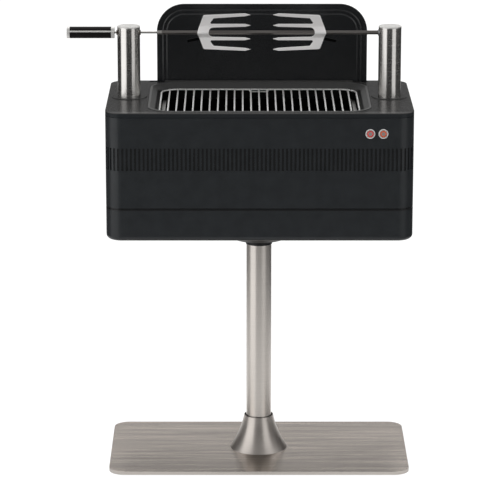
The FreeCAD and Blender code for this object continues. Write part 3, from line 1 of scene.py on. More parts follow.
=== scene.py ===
# %% [markdown]
# # A charcoal grill on a pole stand
# The grill is a charcoal-coloured steel box with a band of vent slots. It stands on a brushed
# pole and a brushed floor plate, and two round posts carry a spit above its wire grate.
# The exact solids come from a frame that is loaded here. This lesson dresses them: it gives every
# piece the finish of the real metal, paint or plastic, adds the small formed details, and lights
# the grill as in a studio.

# %% Load the solids
import math

import bmesh
import bpy
from mathutils import Matrix, Vector


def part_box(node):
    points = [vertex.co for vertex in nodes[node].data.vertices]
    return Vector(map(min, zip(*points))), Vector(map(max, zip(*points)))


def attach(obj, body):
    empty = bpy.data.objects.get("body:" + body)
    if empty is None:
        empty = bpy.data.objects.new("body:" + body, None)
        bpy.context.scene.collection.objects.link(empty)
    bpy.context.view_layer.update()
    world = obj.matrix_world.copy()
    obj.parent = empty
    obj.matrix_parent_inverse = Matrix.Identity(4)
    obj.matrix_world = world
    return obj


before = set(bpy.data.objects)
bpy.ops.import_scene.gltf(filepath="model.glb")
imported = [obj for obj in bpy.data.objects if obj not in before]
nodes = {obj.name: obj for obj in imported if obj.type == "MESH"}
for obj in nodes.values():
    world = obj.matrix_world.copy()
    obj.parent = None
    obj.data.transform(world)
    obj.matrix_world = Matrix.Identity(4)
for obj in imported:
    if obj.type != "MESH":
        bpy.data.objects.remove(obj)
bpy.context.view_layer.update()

# %% [markdown]
# ## The camera
# The grill is seen from straight in front and a little above, through a long lens, so that its
# edges stay nearly parallel. The lens, distance and tilt come from measuring where the edges of
# the floor plate, the box and the deck lie in the picture. A long lens far away is chosen instead
# of an orthographic camera because the deck still narrows slightly towards the back.

# %% Camera
LENS_MM = 217.3
CAMERA_TILT = math.radians(14.41)
CAMERA_PLACE = Vector((-0.0467, -6.9075, 2.3185))

camera_data = bpy.data.cameras.new("front_camera")
camera_data.lens = LENS_MM
camera_data.sensor_width = 36
camera_data.clip_end = 100
camera = bpy.data.objects.new("front_camera", camera_data)
camera.location = CAMERA_PLACE
camera.rotation_euler = (math.pi / 2 - CAMERA_TILT, 0, 0)
bpy.context.scene.collection.objects.link(camera)
bpy.context.scene.camera = camera
bpy.context.scene.view_settings.view_transform = "Standard"
print(f"camera {CAMERA_PLACE.length:.2f} m away with a {LENS_MM} mm lens")

# %% [markdown]
# ## The studio
# Polished metal has no colour of its own to show: it shows the room. So the room is made with
# care, as a photographer would. The floor and the sky are white to the eye and to reflections,
# a broad soft light stands on the left, a weaker one on the right and one hangs above and behind.
# Dark cards stand between them, with a foot that runs in over the floor, and give the round posts
# their dark stripes. The low card at the front right is paler. Behind the grill stand two grey
# backdrops, and a dim card hangs over it all, which the deck and the floor plate mirror. Only
# reflections see the cards: they are hidden from the camera and cast no shadow.

# %% Helpers for shader nodes
def add_node(tree, kind, **settings):
    """A new shader node with its settings and its plain input values."""
    node = tree.nodes.new(kind)
    for name, value in settings.items():
        if name in node.inputs:
            node.inputs[name].default_value = value
        else:
            setattr(node, name, value)
    return node


def seen_directly(tree):
    """One for rays from the eye, off metal or through glass, and nought for other light."""
    path = add_node(tree, "ShaderNodeLightPath")
    total = path.outputs["Is Camera Ray"]
    for name in ("Is Glossy Ray", "Is Transmission Ray"):
        either = add_node(tree, "ShaderNodeMath", operation="MAXIMUM")
        tree.links.new(total, either.inputs[0])
        tree.links.new(path.outputs[name], either.inputs[1])
        total = either.outputs[0]
    return total


# %% White surroundings
SKY_LIGHT = 0.85

world = bpy.data.worlds.new("white_room")
world.use_nodes = True
bpy.context.scene.world = world
tree = world.node_tree
tree.nodes.clear()
lighting = add_node(tree, "ShaderNodeBackground", Color=(1, 1, 1, 1), Strength=SKY_LIGHT)
backdrop = add_node(tree, "ShaderNodeBackground", Color=(1, 1, 1, 1), Strength=1)
either = add_node(tree, "ShaderNodeMixShader")
tree.links.new(seen_directly(tree), either.inputs["Fac"])
tree.links.new(lighting.outputs[0], either.inputs[1])
tree.links.new(backdrop.outputs[0], either.inputs[2])
output = add_node(tree, "ShaderNodeOutputWorld")
tree.links.new(either.outputs[0], output.inputs["Surface"])
print("white surroundings that light the grill at", SKY_LIGHT)

# %% Pale floor
FLOOR_RADIUS = 40
FLOOR_PALE = 0.22
FLOOR_GLOW = 0.90

shape = bmesh.new()
bmesh.ops.create_circle(shape, cap_ends=True, segments=64, radius=FLOOR_RADIUS)
floor_mesh = bpy.data.meshes.new("floor")
shape.to_mesh(floor_mesh)
shape.free()
floor = bpy.data.objects.new("floor", floor_mesh)
bpy.context.scene.collection.objects.link(floor)
paper = bpy.data.materials.new("floor_paper")
paper.use_nodes = True
tree = paper.node_tree
tree.nodes.clear()
surface = add_node(tree, "ShaderNodeBsdfDiffuse", Color=(FLOOR_PALE, FLOOR_PALE, FLOOR_PALE, 1))
glow = add_node(tree, "ShaderNodeEmission", Color=(1, 1, 1, 1))
strength = add_node(tree, "ShaderNodeMath", operation="MULTIPLY")
strength.inputs[1].default_value = FLOOR_GLOW
tree.links.new(seen_directly(tree), strength.inputs[0])
tree.links.new(strength.outputs[0], glow.inputs["Strength"])
both = add_node(tree, "ShaderNodeAddShader")
tree.links.new(surface.outputs[0], both.inputs[0])
tree.links.new(glow.outputs[0], both.inputs[1])
output = add_node(tree, "ShaderNodeOutputMaterial")
tree.links.new(both.outputs[0], output.inputs["Surface"])
floor_mesh.materials.append(paper)
print("a round paper floor,", 2 * FLOOR_RADIUS, "m across")


# %% Soft lights
def on_circle(bearing, radius, height):
    """A place round the grill. Bearing 0 is towards the camera and 90 is to the right."""
    angle = math.radians(bearing)
    return Vector((radius * math.sin(angle), -radius * math.cos(angle), height))


def soft_light(name, place, target, width, height, brightness):
    """A rectangular soft box. Brightness 1 looks as bright as white paper."""
    light = bpy.data.lights.new(name, "AREA")
    light.shape = "RECTANGLE"
    light.size, light.size_y = width, height
    light.energy = brightness * math.pi * width * height
    holder = bpy.data.objects.new(name, light)
    holder.location = place
    holder.rotation_euler = (target - place).to_track_quat("-Z", "Y").to_euler()
    holder.visible_camera = False
    bpy.context.scene.collection.objects.link(holder)


LIGHT_DISTANCE = 3.0
LIGHT_HEIGHT = 1.2
LEVEL_AIM = Vector((0, 0, LIGHT_HEIGHT))
DECK_MIDDLE = Vector((0, 0, 0.9))

soft_light("left_soft_box", on_circle(-56.5, LIGHT_DISTANCE, LIGHT_HEIGHT), LEVEL_AIM,
           width=2.7, height=2.3, brightness=0.62)
soft_light("right_soft_box", on_circle(45.0, LIGHT_DISTANCE, LIGHT_HEIGHT), LEVEL_AIM,
           width=1.9, height=2.3, brightness=0.20)
soft_light("back_top_soft_box", Vector((0, 1.1, 2.8)), DECK_MIDDLE,
           width=2.4, height=1.4, brightness=2.0)
print("three soft lights")


# %% Cards and backdrops
def card_paint(name, brightness):
    """A card that shows one even grey whatever light falls on it."""
    material = bpy.data.materials.new(name)
    material.use_nodes = True
    tree = material.node_tree
    tree.nodes.clear()
    grey = add_node(tree, "ShaderNodeEmission", Color=(1, 1, 1, 1), Strength=brightness)
    output = add_node(tree, "ShaderNodeOutputMaterial")
    tree.links.new(grey.outputs[0], output.inputs["Surface"])
    return material


def studio_card(name, shape, paint):
    """A card that only reflections see."""
    mesh = bpy.data.meshes.new(name)
    shape.to_mesh(mesh)
    shape.free()
    mesh.materials.append(paint)
    card = bpy.data.objects.new(name, mesh)
    card.visible_camera = False
    card.visible_diffuse = False
    card.visible_shadow = False
    bpy.context.scene.collection.objects.link(card)


CARD_OFF_FLOOR = 0.002
CARD_STEP_DEGREES = 6


def standing_card(name, start, end, paint, foot, radius, height):
    """A curved card between two bearings. It lies on the floor from its foot on, then stands."""
    steps = round((end - start) / CARD_STEP_DEGREES)
    shape = bmesh.new()
    profile = [shape.verts.new(on_circle(start, *point)) for point in
               ((foot, CARD_OFF_FLOOR), (radius, CARD_OFF_FLOOR), (radius, height))]
    edges = [shape.edges.new(pair) for pair in zip(profile, profile[1:])]
    bmesh.ops.spin(shape, geom=profile + edges, axis=(0, 0, 1), cent=(0, 0, 0),
                   angle=math.radians(end - start), steps=steps, use_merge=False)
    studio_card(name, shape, paint)


def hanging_card(name, paint, height, radius):
    """A round card that hangs flat above the grill."""
    shape = bmesh.new()
    above = Matrix.Translation((0, 0, height))
    bmesh.ops.create_circle(shape, cap_ends=True, segments=48, radius=radius, matrix=above)
    studio_card(name, shape, paint)


card_black = card_paint("card_black", 0.045)
card_dim = card_paint("card_dim", 0.20)
card_grey = card_paint("card_grey", 0.62)
card_mid = card_paint("card_mid", 0.45)
standing_card("front_card", -28, 27, card_black, foot=1.5, radius=2.8, height=2.1)
standing_card("right_front_card", 27, 63, card_mid, foot=0.9, radius=2.9, height=0.25)
standing_card("left_back_card", -150, -84, card_black, foot=1.5, radius=2.8, height=1.6)
standing_card("right_back_card", 63, 150, card_black, foot=1.2, radius=2.8, height=1.6)
standing_card("grey_backdrop", 140, 220, card_grey, foot=2.3, radius=3.4, height=1.25)
standing_card("dim_backdrop", 140, 220, card_dim, foot=3.5, radius=3.6, height=3.2)
hanging_card("ceiling_card", card_dim, height=3.2, radius=3.0)
print("four standing cards, two backdrops and a ceiling card")

# %% [markdown]
# ## How a finish is built
# Each finish is one Principled shader whose colour, roughness and bump come from procedural
# noise read in object coordinates. Object coordinates are metres here, so a noise of scale 400
# has grains of about 2.5 mm. Stretching the coordinates along one axis turns round grains into
# brush strokes. Noise seldom leaves the range from 0.3 to 0.7, so a finish has its dark and its
# light end there.

# %% Finish helpers
def new_finish(name, colour, roughness, metallic=0.0, specular=0.5, coat=0.0):
    """A material with one Principled shader, its plain values on its own sockets."""
    material = bpy.data.materials.new(name)
    material.use_nodes = True
    shader = material.node_tree.nodes["Principled BSDF"]
    shader.inputs["Base Color"].default_value = (*colour, 1)
    shader.inputs["Roughness"].default_value = roughness
    shader.inputs["Metallic"].default_value = metallic
    shader.inputs["Specular IOR Level"].default_value = specular
    shader.inputs["Coat Weight"].default_value = coat
    return material


GRAIN_LOW, GRAIN_HIGH = 0.3, 0.7


def grain(material, scale, detail, stretch=(1, 1, 1), rough=0.55, kind="noise"):
    """Noise in object coordinates, stretched along the axes. Returns its grey output."""
    tree = material.node_tree
    place = add_node(tree, "ShaderNodeTexCoord")
    mapping = add_node(tree, "ShaderNodeMapping", Scale=stretch)
    tree.links.new(place.outputs["Object"], mapping.inputs["Vector"])
    if kind == "cells":
        texture = add_node(tree, "ShaderNodeTexVoronoi", feature="SMOOTH_F1", Scale=scale)
        grey = texture.outputs["Distance"]
    else:
        texture = add_node(tree, "ShaderNodeTexNoise", Scale=scale, Detail=detail,
                           Roughness=rough)
        grey = texture.outputs["Fac"]
    tree.links.new(mapping.outputs[0], texture.inputs["Vector"])
    return grey


def colour_between(material, grey, dark, light, low=GRAIN_LOW, high=GRAIN_HIGH):
    """The finish's colour goes from dark to light with the grey value."""
    tree = material.node_tree
    ramp = add_node(tree, "ShaderNodeValToRGB")
    ramp.color_ramp.elements[0].position = low
    ramp.color_ramp.elements[0].color = (*dark, 1)
    ramp.color_ramp.elements[1].position = high
    ramp.color_ramp.elements[1].color = (*light, 1)
    tree.links.new(grey, ramp.inputs["Fac"])
    tree.links.new(ramp.outputs["Color"], tree.nodes["Principled BSDF"].inputs["Base Color"])


def roughness_between(material, grey, low, high):
    """The finish's roughness goes from low to high with the grey value."""
    tree = material.node_tree
    spread = add_node(tree, "ShaderNodeMapRange")
    spread.inputs["From Min"].default_value = GRAIN_LOW
    spread.inputs["From Max"].default_value = GRAIN_HIGH
    spread.inputs["To Min"].default_value = low
    spread.inputs["To Max"].default_value = high
    tree.links.new(grey, spread.inputs["Value"])
    tree.links.new(spread.outputs["Result"], tree.nodes["Principled BSDF"].inputs["Roughness"])


def raise_by(material, grey, height):
    """Bump of that real height in metres."""
    tree = material.node_tree
    bump = add_node(tree, "ShaderNodeBump", Strength=1.0, Distance=height)
    tree.links.new(grey, bump.inputs["Height"])
    tree.links.new(bump.outputs["Normal"], tree.nodes["Principled BSDF"].inputs["Normal"])


def share_along(material, axis, start, end):
    """A grey value that goes from nought to one between two places on an object axis."""
    tree = material.node_tree
    place = add_node(tree, "ShaderNodeTexCoord")
    along = add_node(tree, "ShaderNodeSeparateXYZ")
    tree.links.new(place.outputs["Object"], along.inputs[0])
    share = add_node(tree, "ShaderNodeMapRange")
    share.inputs["From Min"].default_value = start
    share.inputs["From Max"].default_value = end
    tree.links.new(along.outputs[axis], share.inputs["Value"])
    return share.outputs["Result"]


def both_shares(material, first, second):
    """One where both grey values are one."""
    tree = material.node_tree
    product = add_node(tree, "ShaderNodeMath", operation="MULTIPLY")
    tree.links.new(first, product.inputs[0])
    tree.links.new(second, product.inputs[1])
    return product.outputs[0]


def tint_where(material, share, colour):
    """Another colour where a grey value is one. Elsewhere the finish keeps its own."""
    tree = material.node_tree
    base = tree.nodes["Principled BSDF"].inputs["Base Color"]
    mix = add_node(tree, "ShaderNodeMixRGB", Color2=(*colour, 1))
    tree.links.new(share, mix.inputs["Fac"])
    tree.links.new(base.links[0].from_socket, mix.inputs["Color1"])
    tree.links.new(mix.outputs["Color"], base)


TINT_BLEND = 0.0002


def tint_before(material, axis, border, colour):
    """Another colour below a border on an object axis."""
    tint_where(material, share_along(material, axis, border + TINT_BLEND, border), colour)


def wear(material, *names):
    """Give the finish to solids."""
    for name in names:
        slots = nodes[name].data.materials
        slots.clear()
        slots.append(material)


# %% [markdown]
# ## Brushed steel
# The floor plate is brushed along its length, so its strokes are long in X and fine in Y.
# The pole, its flared foot and the posts are brushed round and round on a lathe. Strokes spread a
# reflection across themselves only, so the stripes on the posts stay upright and crisp.
# The shader's anisotropy does that, with the strokes' direction taken round an axis: round Z on the
# turned pieces, and round Y on the plate, which on its flat top means along X.

# %% Floor plate, pole, flared foot and posts
def brushed(name, colour, roughness, stretch, scale, streak=0.10, rough_spread=0.06, height=1e-6,
            metallic=1.0):
    """Steel with brush strokes: darker and lighter, rougher and smoother lines."""
    material = new_finish(name, colour, roughness, metallic=metallic)
    strokes = grain(material, scale, detail=4.0, stretch=stretch, rough=0.65)
    dark = [c * (1 - streak) for c in colour]
    light = [min(1.0, c * (1 + streak)) for c in colour]
    colour_between(material, strokes, dark, light)
    roughness_between(material, strokes, roughness - rough_spread, roughness + rough_spread)
    raise_by(material, strokes, height)
    return material


QUARTER_TURN = 0.25
LATHE_STROKES = (3, 3, 120)


def across_strokes(material, axis, spread):
    """Spread the reflection across strokes that run round an axis."""
    tree = material.node_tree
    shader = tree.nodes["Principled BSDF"]
    shader.inputs["Anisotropic"].default_value = spread
    shader.inputs["Anisotropic Rotation"].default_value = QUARTER_TURN
    around = add_node(tree, "ShaderNodeTangent", direction_type="RADIAL", axis=axis)
    tree.links.new(around.outputs["Tangent"], shader.inputs["Tangent"])


def lathe_brushed(name, colour, roughness, spread):
    """Steel brushed round the Z axis."""
    material = brushed(name, colour, roughness, LATHE_STROKES, 7, streak=0.05,
                       rough_spread=0.03, height=4e-7)
    across_strokes(material, "Z", spread)
    return material


PLATE_TOP = (0.68, 0.613, 0.557)
PLATE_EDGE = (0.46, 0.428, 0.396)
EDGE_ROUND = 0.0006
plate_top_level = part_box("base_plate")[1][2]

plate_steel = brushed("plate_steel", PLATE_TOP, 0.24, (0.5, 24, 24), 6, streak=0.24,
                      rough_spread=0.02, height=5e-8)
tint_before(plate_steel, "Z", plate_top_level - EDGE_ROUND, PLATE_EDGE)
across_strokes(plate_steel, "Y", 1.0)
pole_steel = lathe_brushed("pole_steel", (0.60, 0.563, 0.525), 0.34, 0.7)
foot_steel = lathe_brushed("foot_steel", (0.54, 0.50, 0.465), 0.38, 0.6)
post_steel = lathe_brushed("post_steel", (0.60, 0.585, 0.565), 0.25, 0.85)
cap_steel = brushed("cap_steel", (0.80, 0.79, 0.77), 0.55, (1.5, 70, 70), 14)
wear(plate_steel, "base_plate")
wear(pole_steel, "pole_tube")
wear(foot_steel, "base_cone")
wear(post_steel, "left_post", "right_post")
wear(cap_steel, "left_post_cap", "right_post_cap")
print("brushed steel on the stand and the posts")

# %% [markdown]
# ## Charcoal paint
# The box has a satin powder coat, nearly black with a little blue in it and a skin like fine
# orange peel. Its paint carries a painted shade along the seam between wrap and pan, for the
# shadow in the gap, so that the seam reads as a deep line. The deck is much the same colour with a
# leather-like grain. Seen so flat it mirrors the grey backdrop and the posts, so it looks paler
# than the box, and its front strip is painted paler still: painted light for the light it catches
# there.
# The rim of the cooking opening has a painted shade towards the back, where the standing panel
# shades it, and a painted shadow low down at its inner edge, beside the grate.

# %% Box, deck, rim and standing panel
MOTTLE_SCALE = 30
MOTTLE_DEPTH = 0.12
SKIN_SPREAD = 0.04


def powder_coat(name, colour, roughness, specular, grain_scale, height, kind="noise"):
    """Paint with a faint mottling and a grain of real height."""
    material = new_finish(name, colour, roughness, specular=specular)
    mottle = grain(material, MOTTLE_SCALE, detail=4.0)
    dark = [c * (1 - MOTTLE_DEPTH) for c in colour]
    light = [c * (1 + MOTTLE_DEPTH) for c in colour]
    colour_between(material, mottle, dark, light)
    skin = grain(material, grain_scale, detail=2.0, kind=kind)
    roughness_between(material, skin, roughness - SKIN_SPREAD, roughness + SKIN_SPREAD)
    raise_by(material, skin, height)
    return material


RIM_PALE = (0.105, 0.105, 0.104)
RIM_PAINTED_SHADE = (0.046, 0.046, 0.0455)
RIM_PAINTED_SHADOW = (0.006, 0.006, 0.006)
REAR_SHADE_START, REAR_SHADE_END = 0.09, 0.15
LOW_SHADOW_TOP, LOW_SHADOW_FULL = 0.008, 0.010
REAR_START, REAR_END = 0.12, 0.14
DECK_FRONT_PAINTED_LIGHT = (0.074, 0.073, 0.072)
FRONT_STRIP_OVERLAP = 0.001
DECK_EDGE_ROUND = 0.002
BOX_CHARCOAL = (0.0272, 0.0300, 0.0326)
SEAM_SHADE = (0.018, 0.0185, 0.0195)
SEAM_SHADED = 0.0066
SEAM_BLEND = 0.0004
deck_top_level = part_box("deck")[1][2]
seam_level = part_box("body_shell")[0][2]
rim_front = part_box("deck_rim")[0][1]

box_paint = powder_coat("box_paint", BOX_CHARCOAL, 0.33, 0.26, 900, 6e-6)
# Painted shade: the box paint is darker in a band just below the seam, for the shadow in the gap
# between wrap and pan.
shade_end = seam_level - SEAM_SHADED
above_end = share_along(box_paint, "Z", shade_end, shade_end + SEAM_BLEND)
below_seam = share_along(box_paint, "Z", seam_level + SEAM_BLEND, seam_level)
tint_where(box_paint, both_shares(box_paint, above_end, below_seam), SEAM_SHADE)
deck_paint = powder_coat("deck_paint", (0.031, 0.0306, 0.0302), 0.25, 0.07, 420, 2e-5, "cells")
# Painted light: the deck's front strip, in front of the rim, is painted paler for the light it
# catches there.
tint_before(deck_paint, "Y", rim_front + FRONT_STRIP_OVERLAP, DECK_FRONT_PAINTED_LIGHT)
tint_before(deck_paint, "Z", deck_top_level - DECK_EDGE_ROUND, BOX_CHARCOAL)
rim_paint = powder_coat("rim_paint", RIM_PALE, 0.4, 0.3, 700, 1e-5)
# Painted shade: the rim darkens towards the back, where the standing panel shades it.
rear_shade = share_along(rim_paint, "Y", REAR_SHADE_START, REAR_SHADE_END)
colour_between(rim_paint, rear_shade, RIM_PALE, RIM_PAINTED_SHADE, 0, 1)
# Painted shadow: the rim is near black low down at its inner edge beside the grate, except at the
# back.
low_down = share_along(rim_paint, "Z", deck_top_level - LOW_SHADOW_TOP, deck_top_level - LOW_SHADOW_FULL)
before_rear = share_along(rim_paint, "Y", REAR_END, REAR_START)
tint_where(rim_paint, both_shares(rim_paint, low_down, before_rear), RIM_PAINTED_SHADOW)
panel_paint = powder_coat("panel_paint", (0.0103, 0.0111, 0.0124), 0.28, 0.6, 900, 5e-6)
wear(box_paint, "body_shell", "base_shell")
wear(deck_paint, "deck", "left_post_collar", "right_post_collar")
wear(rim_paint, "deck_rim")
wear(panel_paint, "cover_panel")
print("paint on the box, deck, rim and panel")

# %% [markdown]
# ## Firebox, tray and grate
# Inside, the steel has a black enamel, dulled by soot, and of the charcoal tray only the lip is
# still bright, and less so towards the back. The grate is plated wire with a satin surface, so
# every bar shows a line of light along its whole length.

# %% Enamel and plated wire
SOOT = (0.004, 0.004, 0.004)
TRAY_STEEL = (0.85, 0.84, 0.82)
LIP_THICKNESS = 0.0016
LIP_BLEND = 0.0001
LIP_BRIGHT_END, LIP_DARK_START = 0.07, 0.13
tray_lip_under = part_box("charcoal_tray")[1][2] - LIP_THICKNESS

fire_enamel = powder_coat("fire_enamel", (0.0035, 0.0035, 0.0035), 0.6, 0.08, 250, 3e-5)
tray_steel = brushed("tray_steel", TRAY_STEEL, 0.45, (6, 6, 6), 20, 0.15)
lip_only = share_along(tray_steel, "Z", tray_lip_under, tray_lip_under + LIP_BLEND)
# The bright lip darkens towards the back.
towards_front = share_along(tray_steel, "Y", LIP_DARK_START, LIP_BRIGHT_END)
bright_lip = both_shares(tray_steel, lip_only, towards_front)
colour_between(tray_steel, bright_lip, SOOT, TRAY_STEEL, 0, 1)
grate_wire = brushed("grate_wire", (0.93, 0.925, 0.91), 0.55, (40, 1, 40), 12, streak=0.05,
                     rough_spread=0.05, height=2e-6, metallic=0.85)
wear(fire_enamel, "firebox")
wear(tray_steel, "charcoal_tray")
wear(grate_wire, "cooking_grate")
print("enamel inside and plated wire on the grate")

# %% [markdown]
# ## Spit, forks and handle
# The spit is dark rolled steel with a bright round neck where it runs in the left post. The forks
# are bead-blasted sheet, so they look pale from every side. Above the spit they are painted a
# little
# darker than below it: painted shade, as the lower half catches more light.
# The handle has two black grips on a metal tang.

# %% Spit metals and grips
JOURNAL_STEEL = (0.55, 0.53, 0.51)
ROLLED_STEEL = (0.24, 0.225, 0.215)
JOURNAL_END = -0.236
JOURNAL_BLEND = 0.0005
FORK_PALE = (0.98, 0.965, 0.955)
FORK_UPPER_PAINTED_SHADE = (0.84, 0.82, 0.815)
FORK_BLEND = (-0.002, 0.004)
spit_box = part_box("spit_rod")
spit_level = (spit_box[0][2] + spit_box[1][2]) / 2

spit_steel = brushed("spit_steel", ROLLED_STEEL, 0.42, (1, 60, 60), 16, 0.2)
past_journal = share_along(spit_steel, "X", JOURNAL_END, JOURNAL_END + JOURNAL_BLEND)
colour_between(spit_steel, past_journal, JOURNAL_STEEL, ROLLED_STEEL, 0, 1)
fork_steel = brushed("fork_steel", FORK_PALE, 0.5, (30, 30, 30), 14, 0.05, metallic=0.3)
# Painted shade: the forks are painted a little darker above the spit than below it.
above_spit = share_along(fork_steel, "Z", *[spit_level + step for step in FORK_BLEND])
colour_between(fork_steel, above_spit, FORK_PALE, FORK_UPPER_PAINTED_SHADE, 0, 1)
tang_steel = brushed("tang_steel", (0.70, 0.69, 0.67), 0.45, (2, 50, 50), 14, 0.06,
                     metallic=0.6)
grip_black = powder_coat("grip_black", (0.011, 0.010, 0.010), 0.5, 0.06, 500, 1e-5)
lever_black = powder_coat("lever_black", (0.0012, 0.0012, 0.0012), 0.5, 0.05, 600, 1e-5)
wear(spit_steel, "spit_rod")
wear(fork_steel, "left_fork", "right_fork", "left_fork_clamp", "right_fork_clamp")
wear(tang_steel, "handle_core")
wear(grip_black, "handle_scales")
wear(lever_black, "left_fork_lever", "right_fork_lever")
print("finishes on the spit")

# %% [markdown]
# ## Buttons
# Each push button is a satin metal cap in a metal ring. A ring of coloured plastic in its face is
# lit from behind when the grill is on, red for lighting the charcoal and orange for the spit.

# %% Button metal and coloured rings
def clear_plastic(name, colour):
    """Coloured plastic with a thin clear coat, a little uneven."""
    material = new_finish(name, colour, 0.3, coat=0.3)
    cloud = grain(material, 260, detail=2.0)
    colour_between(material, cloud, [c * 0.8 for c in colour], [min(1, c * 1.2) for c in colour])
    roughness_between(material, cloud, 0.25, 0.35)
    return material


bezel_steel = brushed("bezel_steel", (0.98, 0.95, 0.93), 0.5, (60, 60, 60), 30, 0.05,
                      metallic=0.2)
button_steel = brushed("button_steel", (0.64, 0.58, 0.56), 0.45, (60, 60, 60), 30, 0.08)
red_ring = clear_plastic("red_ring", (0.95, 0.085, 0.075))
orange_ring = clear_plastic("orange_ring", (0.95, 0.14, 0.045))
wear(bezel_steel, "button_bezels")
wear(button_steel, "ignition_button", "spit_button")
wear(red_ring, "ignition_lens")
wear(orange_ring, "spit_lens")
print("finishes on the buttons")

# %% [markdown]
# ## Plain parts inside and underneath
# Most of these show only from below, behind or through the slots, but each is still the material
# it would be: zinc-plated steel, moulded plastic, bronze, ceramic, rubber or a green circuit board.

# %% Hidden finishes
def moulded(name, colour, roughness=0.5):
    """Plastic, rubber or fired clay with a fine skin."""
    return powder_coat(name, colour, roughness, 0.3, 600, 1e-5)


neck_plastic = moulded("neck_plastic", (0.008, 0.008, 0.0085), 0.42)
fan_plastic = moulded("fan_plastic", (0.016, 0.016, 0.017))
zinc_plate = brushed("zinc_plate", (0.42, 0.43, 0.44), 0.4, (25, 25, 25), 12, 0.14)
dark_sheet = powder_coat("dark_sheet", (0.020, 0.021, 0.022), 0.5, 0.3, 400, 1e-5)
bush_bronze = brushed("bush_bronze", (0.10, 0.085, 0.07), 0.4, (30, 30, 30), 20, 0.08)
clay_white = moulded("clay_white", (0.58, 0.55, 0.50), 0.6)
board_green = moulded("board_green", (0.015, 0.11, 0.045), 0.35)
pad_rubber = moulded("pad_rubber", (0.015, 0.015, 0.015), 0.75)
wear(neck_plastic, "neck_flange")
wear(fan_plastic, "fan_frame", "fan_rotor", "power_inlet", "button_switches", "motor_carrier",
     "left_post_slider", "right_post_slider")
wear(zinc_plate, "pole_flange", "flange_bolts", "neck_bolts", "floor_plate", "firebox_spacers",
     "firebox_nuts", "ignition_element", "gear_motor", "drive_socket", "power_supply")
wear(dark_sheet, "heat_shield", "cover_pocket", "left_guide", "right_guide", "shell_screws",
     "guide_screws")
wear(bush_bronze, "spit_bushing")
wear(clay_white, "element_block")
wear(board_green, "control_board")
wear(pad_rubber, "base_feet")
bare = [name for name, piece in nodes.items() if not piece.data.materials]
print("solids without a finish:", bare)

# %% [markdown]
# ## Small formed details
# A sheet stands close behind the vent slots, so one sees dark paint through them and not the
# inside of the box. The grate has a wire loop at the back to lift it by.

# %% Sheet behind the slots
def finished_piece(name, shape, material, body):
    """Turn a bmesh into an object that rides on one of the grill's moving bodies."""
    bmesh.ops.recalc_face_normals(shape, faces=shape.faces)
    mesh = bpy.data.meshes.new(name)
    shape.to_mesh(mesh)
    shape.free()
    mesh.materials.append(material)
    piece = bpy.data.objects.new(name, mesh)
    bpy.context.scene.collection.objects.link(piece)
    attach(piece, body)
    return piece


SLOT_LOW, SLOT_HIGH = 0.757, 0.826
SHEET_INSET = 0.0023
SHEET_THICKNESS = 0.0008
BODY_CORNER = 0.038
low_corner, high_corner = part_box("body_shell")
sheet_size = ((high_corner[0] - low_corner[0]) - 2 * SHEET_INSET,
              (high_corner[1] - low_corner[1]) - 2 * SHEET_INSET, SLOT_HIGH - SLOT_LOW)

shape = bmesh.new()
bmesh.ops.create_cube(shape, size=1)
bmesh.ops.scale(shape, vec=sheet_size, verts=shape.verts)
bmesh.ops.translate(shape, vec=(0, 0, (SLOT_LOW + SLOT_HIGH) / 2), verts=shape.verts)
upright = [edge for edge in shape.edges if abs(edge.verts[0].co.z - edge.verts[1].co.z) > 0.01]
bmesh.ops.bevel(shape, geom=upright, offset=BODY_CORNER - SHEET_INSET, offset_type="OFFSET",
                affect="EDGES", segments=10, profile=0.5, material=-1)
caps = [face for face in shape.faces if abs(face.normal.z) > 0.5]
bmesh.ops.delete(shape, geom=caps, context="FACES_ONLY")
bmesh.ops.recalc_face_normals(shape, faces=shape.faces)
bmesh.ops.solidify(shape, geom=shape.faces[:], thickness=SHEET_THICKNESS)
slot_sheet_paint = powder_coat("slot_sheet_paint", (0.018, 0.0186, 0.0192), 0.5, 0.2, 500, 1e-5)
slot_sheet = finished_piece("slot_sheet", shape, slot_sheet_paint, "grill")
print("sheet behind the slots:", len(slot_sheet.data.polygons), "faces")

# %% Lifting loop on the grate
def push_end(shape, face, along):
    """Push the wire's end face straight on, and return the new end."""
    pushed = bmesh.ops.extrude_discrete_faces(shape, faces=[face])["faces"][0]
    bmesh.ops.translate(shape, vec=along, verts=pushed.verts)
    return pushed


def turn_end(shape, face, centre, axis, angle, steps=8):
    """Swing the wire's end face round a centre, and return the new end."""
    swung = bmesh.ops.spin(shape, geom=[face], cent=centre, axis=axis, angle=angle, steps=steps)
    return next(item for item in swung["geom_last"] if isinstance(item, bmesh.types.BMFace))


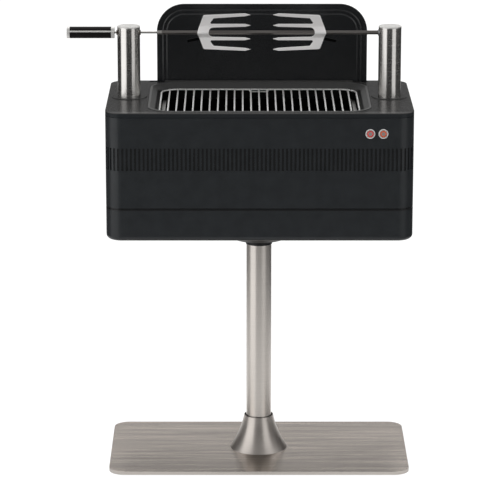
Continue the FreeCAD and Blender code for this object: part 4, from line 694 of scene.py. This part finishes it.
LOOP_WIRE = 0.0011
LOOP_WIDTH = 0.046
LOOP_LEG = 0.009
LOOP_BEND = 0.008
LOOP_SET_IN = 0.002
LOOP_DROP = 0.0022
low_corner, high_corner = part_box("cooking_grate")
grate_level = (low_corner[2] + high_corner[2]) / 2
loop_back = Vector((-LOOP_WIDTH / 2, high_corner[1] - LOOP_SET_IN, grate_level - LOOP_DROP))

shape = bmesh.new()
upright_ring = Matrix.Translation(loop_back) @ Matrix.Rotation(math.pi / 2, 4, "X")
bmesh.ops.create_circle(shape, cap_ends=True, segments=12, radius=LOOP_WIRE, matrix=upright_ring)
shape.faces.ensure_lookup_table()
end = push_end(shape, shape.faces[0], (0, -LOOP_LEG, 0))
first_bend = loop_back + Vector((LOOP_BEND, -LOOP_LEG, 0))
end = turn_end(shape, end, first_bend, (0, 0, 1), math.pi / 2)
end = push_end(shape, end, (LOOP_WIDTH - 2 * LOOP_BEND, 0, 0))
second_bend = first_bend + Vector((LOOP_WIDTH - 2 * LOOP_BEND, 0, 0))
end = turn_end(shape, end, second_bend, (0, 0, 1), math.pi / 2)
push_end(shape, end, (0, LOOP_LEG, 0))
bmesh.ops.remove_doubles(shape, verts=shape.verts, dist=1e-6)
loop = finished_piece("grate_lift_loop", shape, grate_wire, "grate")
print("lifting loop:", len(loop.data.polygons), "faces")

# %% [markdown]
# ## Edges that catch the light
# No real edge is perfectly sharp. A thin bevel on the pressed and turned pieces gives them the
# fine bright lines that show where one face ends. The bevel is a modifier, so the solids stay as
# they are. The weld before it joins the faces of a solid, which come apart from one another.

# %% Soft edges
def soften(name, width):
    """A thin rounded edge wherever two faces of the solid meet at an angle."""
    piece = nodes[name]
    weld = piece.modifiers.new("joined_faces", "WELD")
    weld.merge_threshold = 1e-6
    bevel = piece.modifiers.new("soft_edge", "BEVEL")
    bevel.width = width
    bevel.segments = 2
    bevel.limit_method = "ANGLE"
    bevel.angle_limit = math.radians(40)
    bevel.use_clamp_overlap = True


SOFT_EDGES = {"left_fork": 0.0007, "right_fork": 0.0007, "deck_rim": 0.0004,
              "left_post_collar": 0.0005, "right_post_collar": 0.0005,
              "button_bezels": 0.0006, "left_fork_lever": 0.0008, "right_fork_lever": 0.0008}

for name, width in SOFT_EDGES.items():
    soften(name, width)
print("soft edges on forks, rim, collars, bezels and levers")
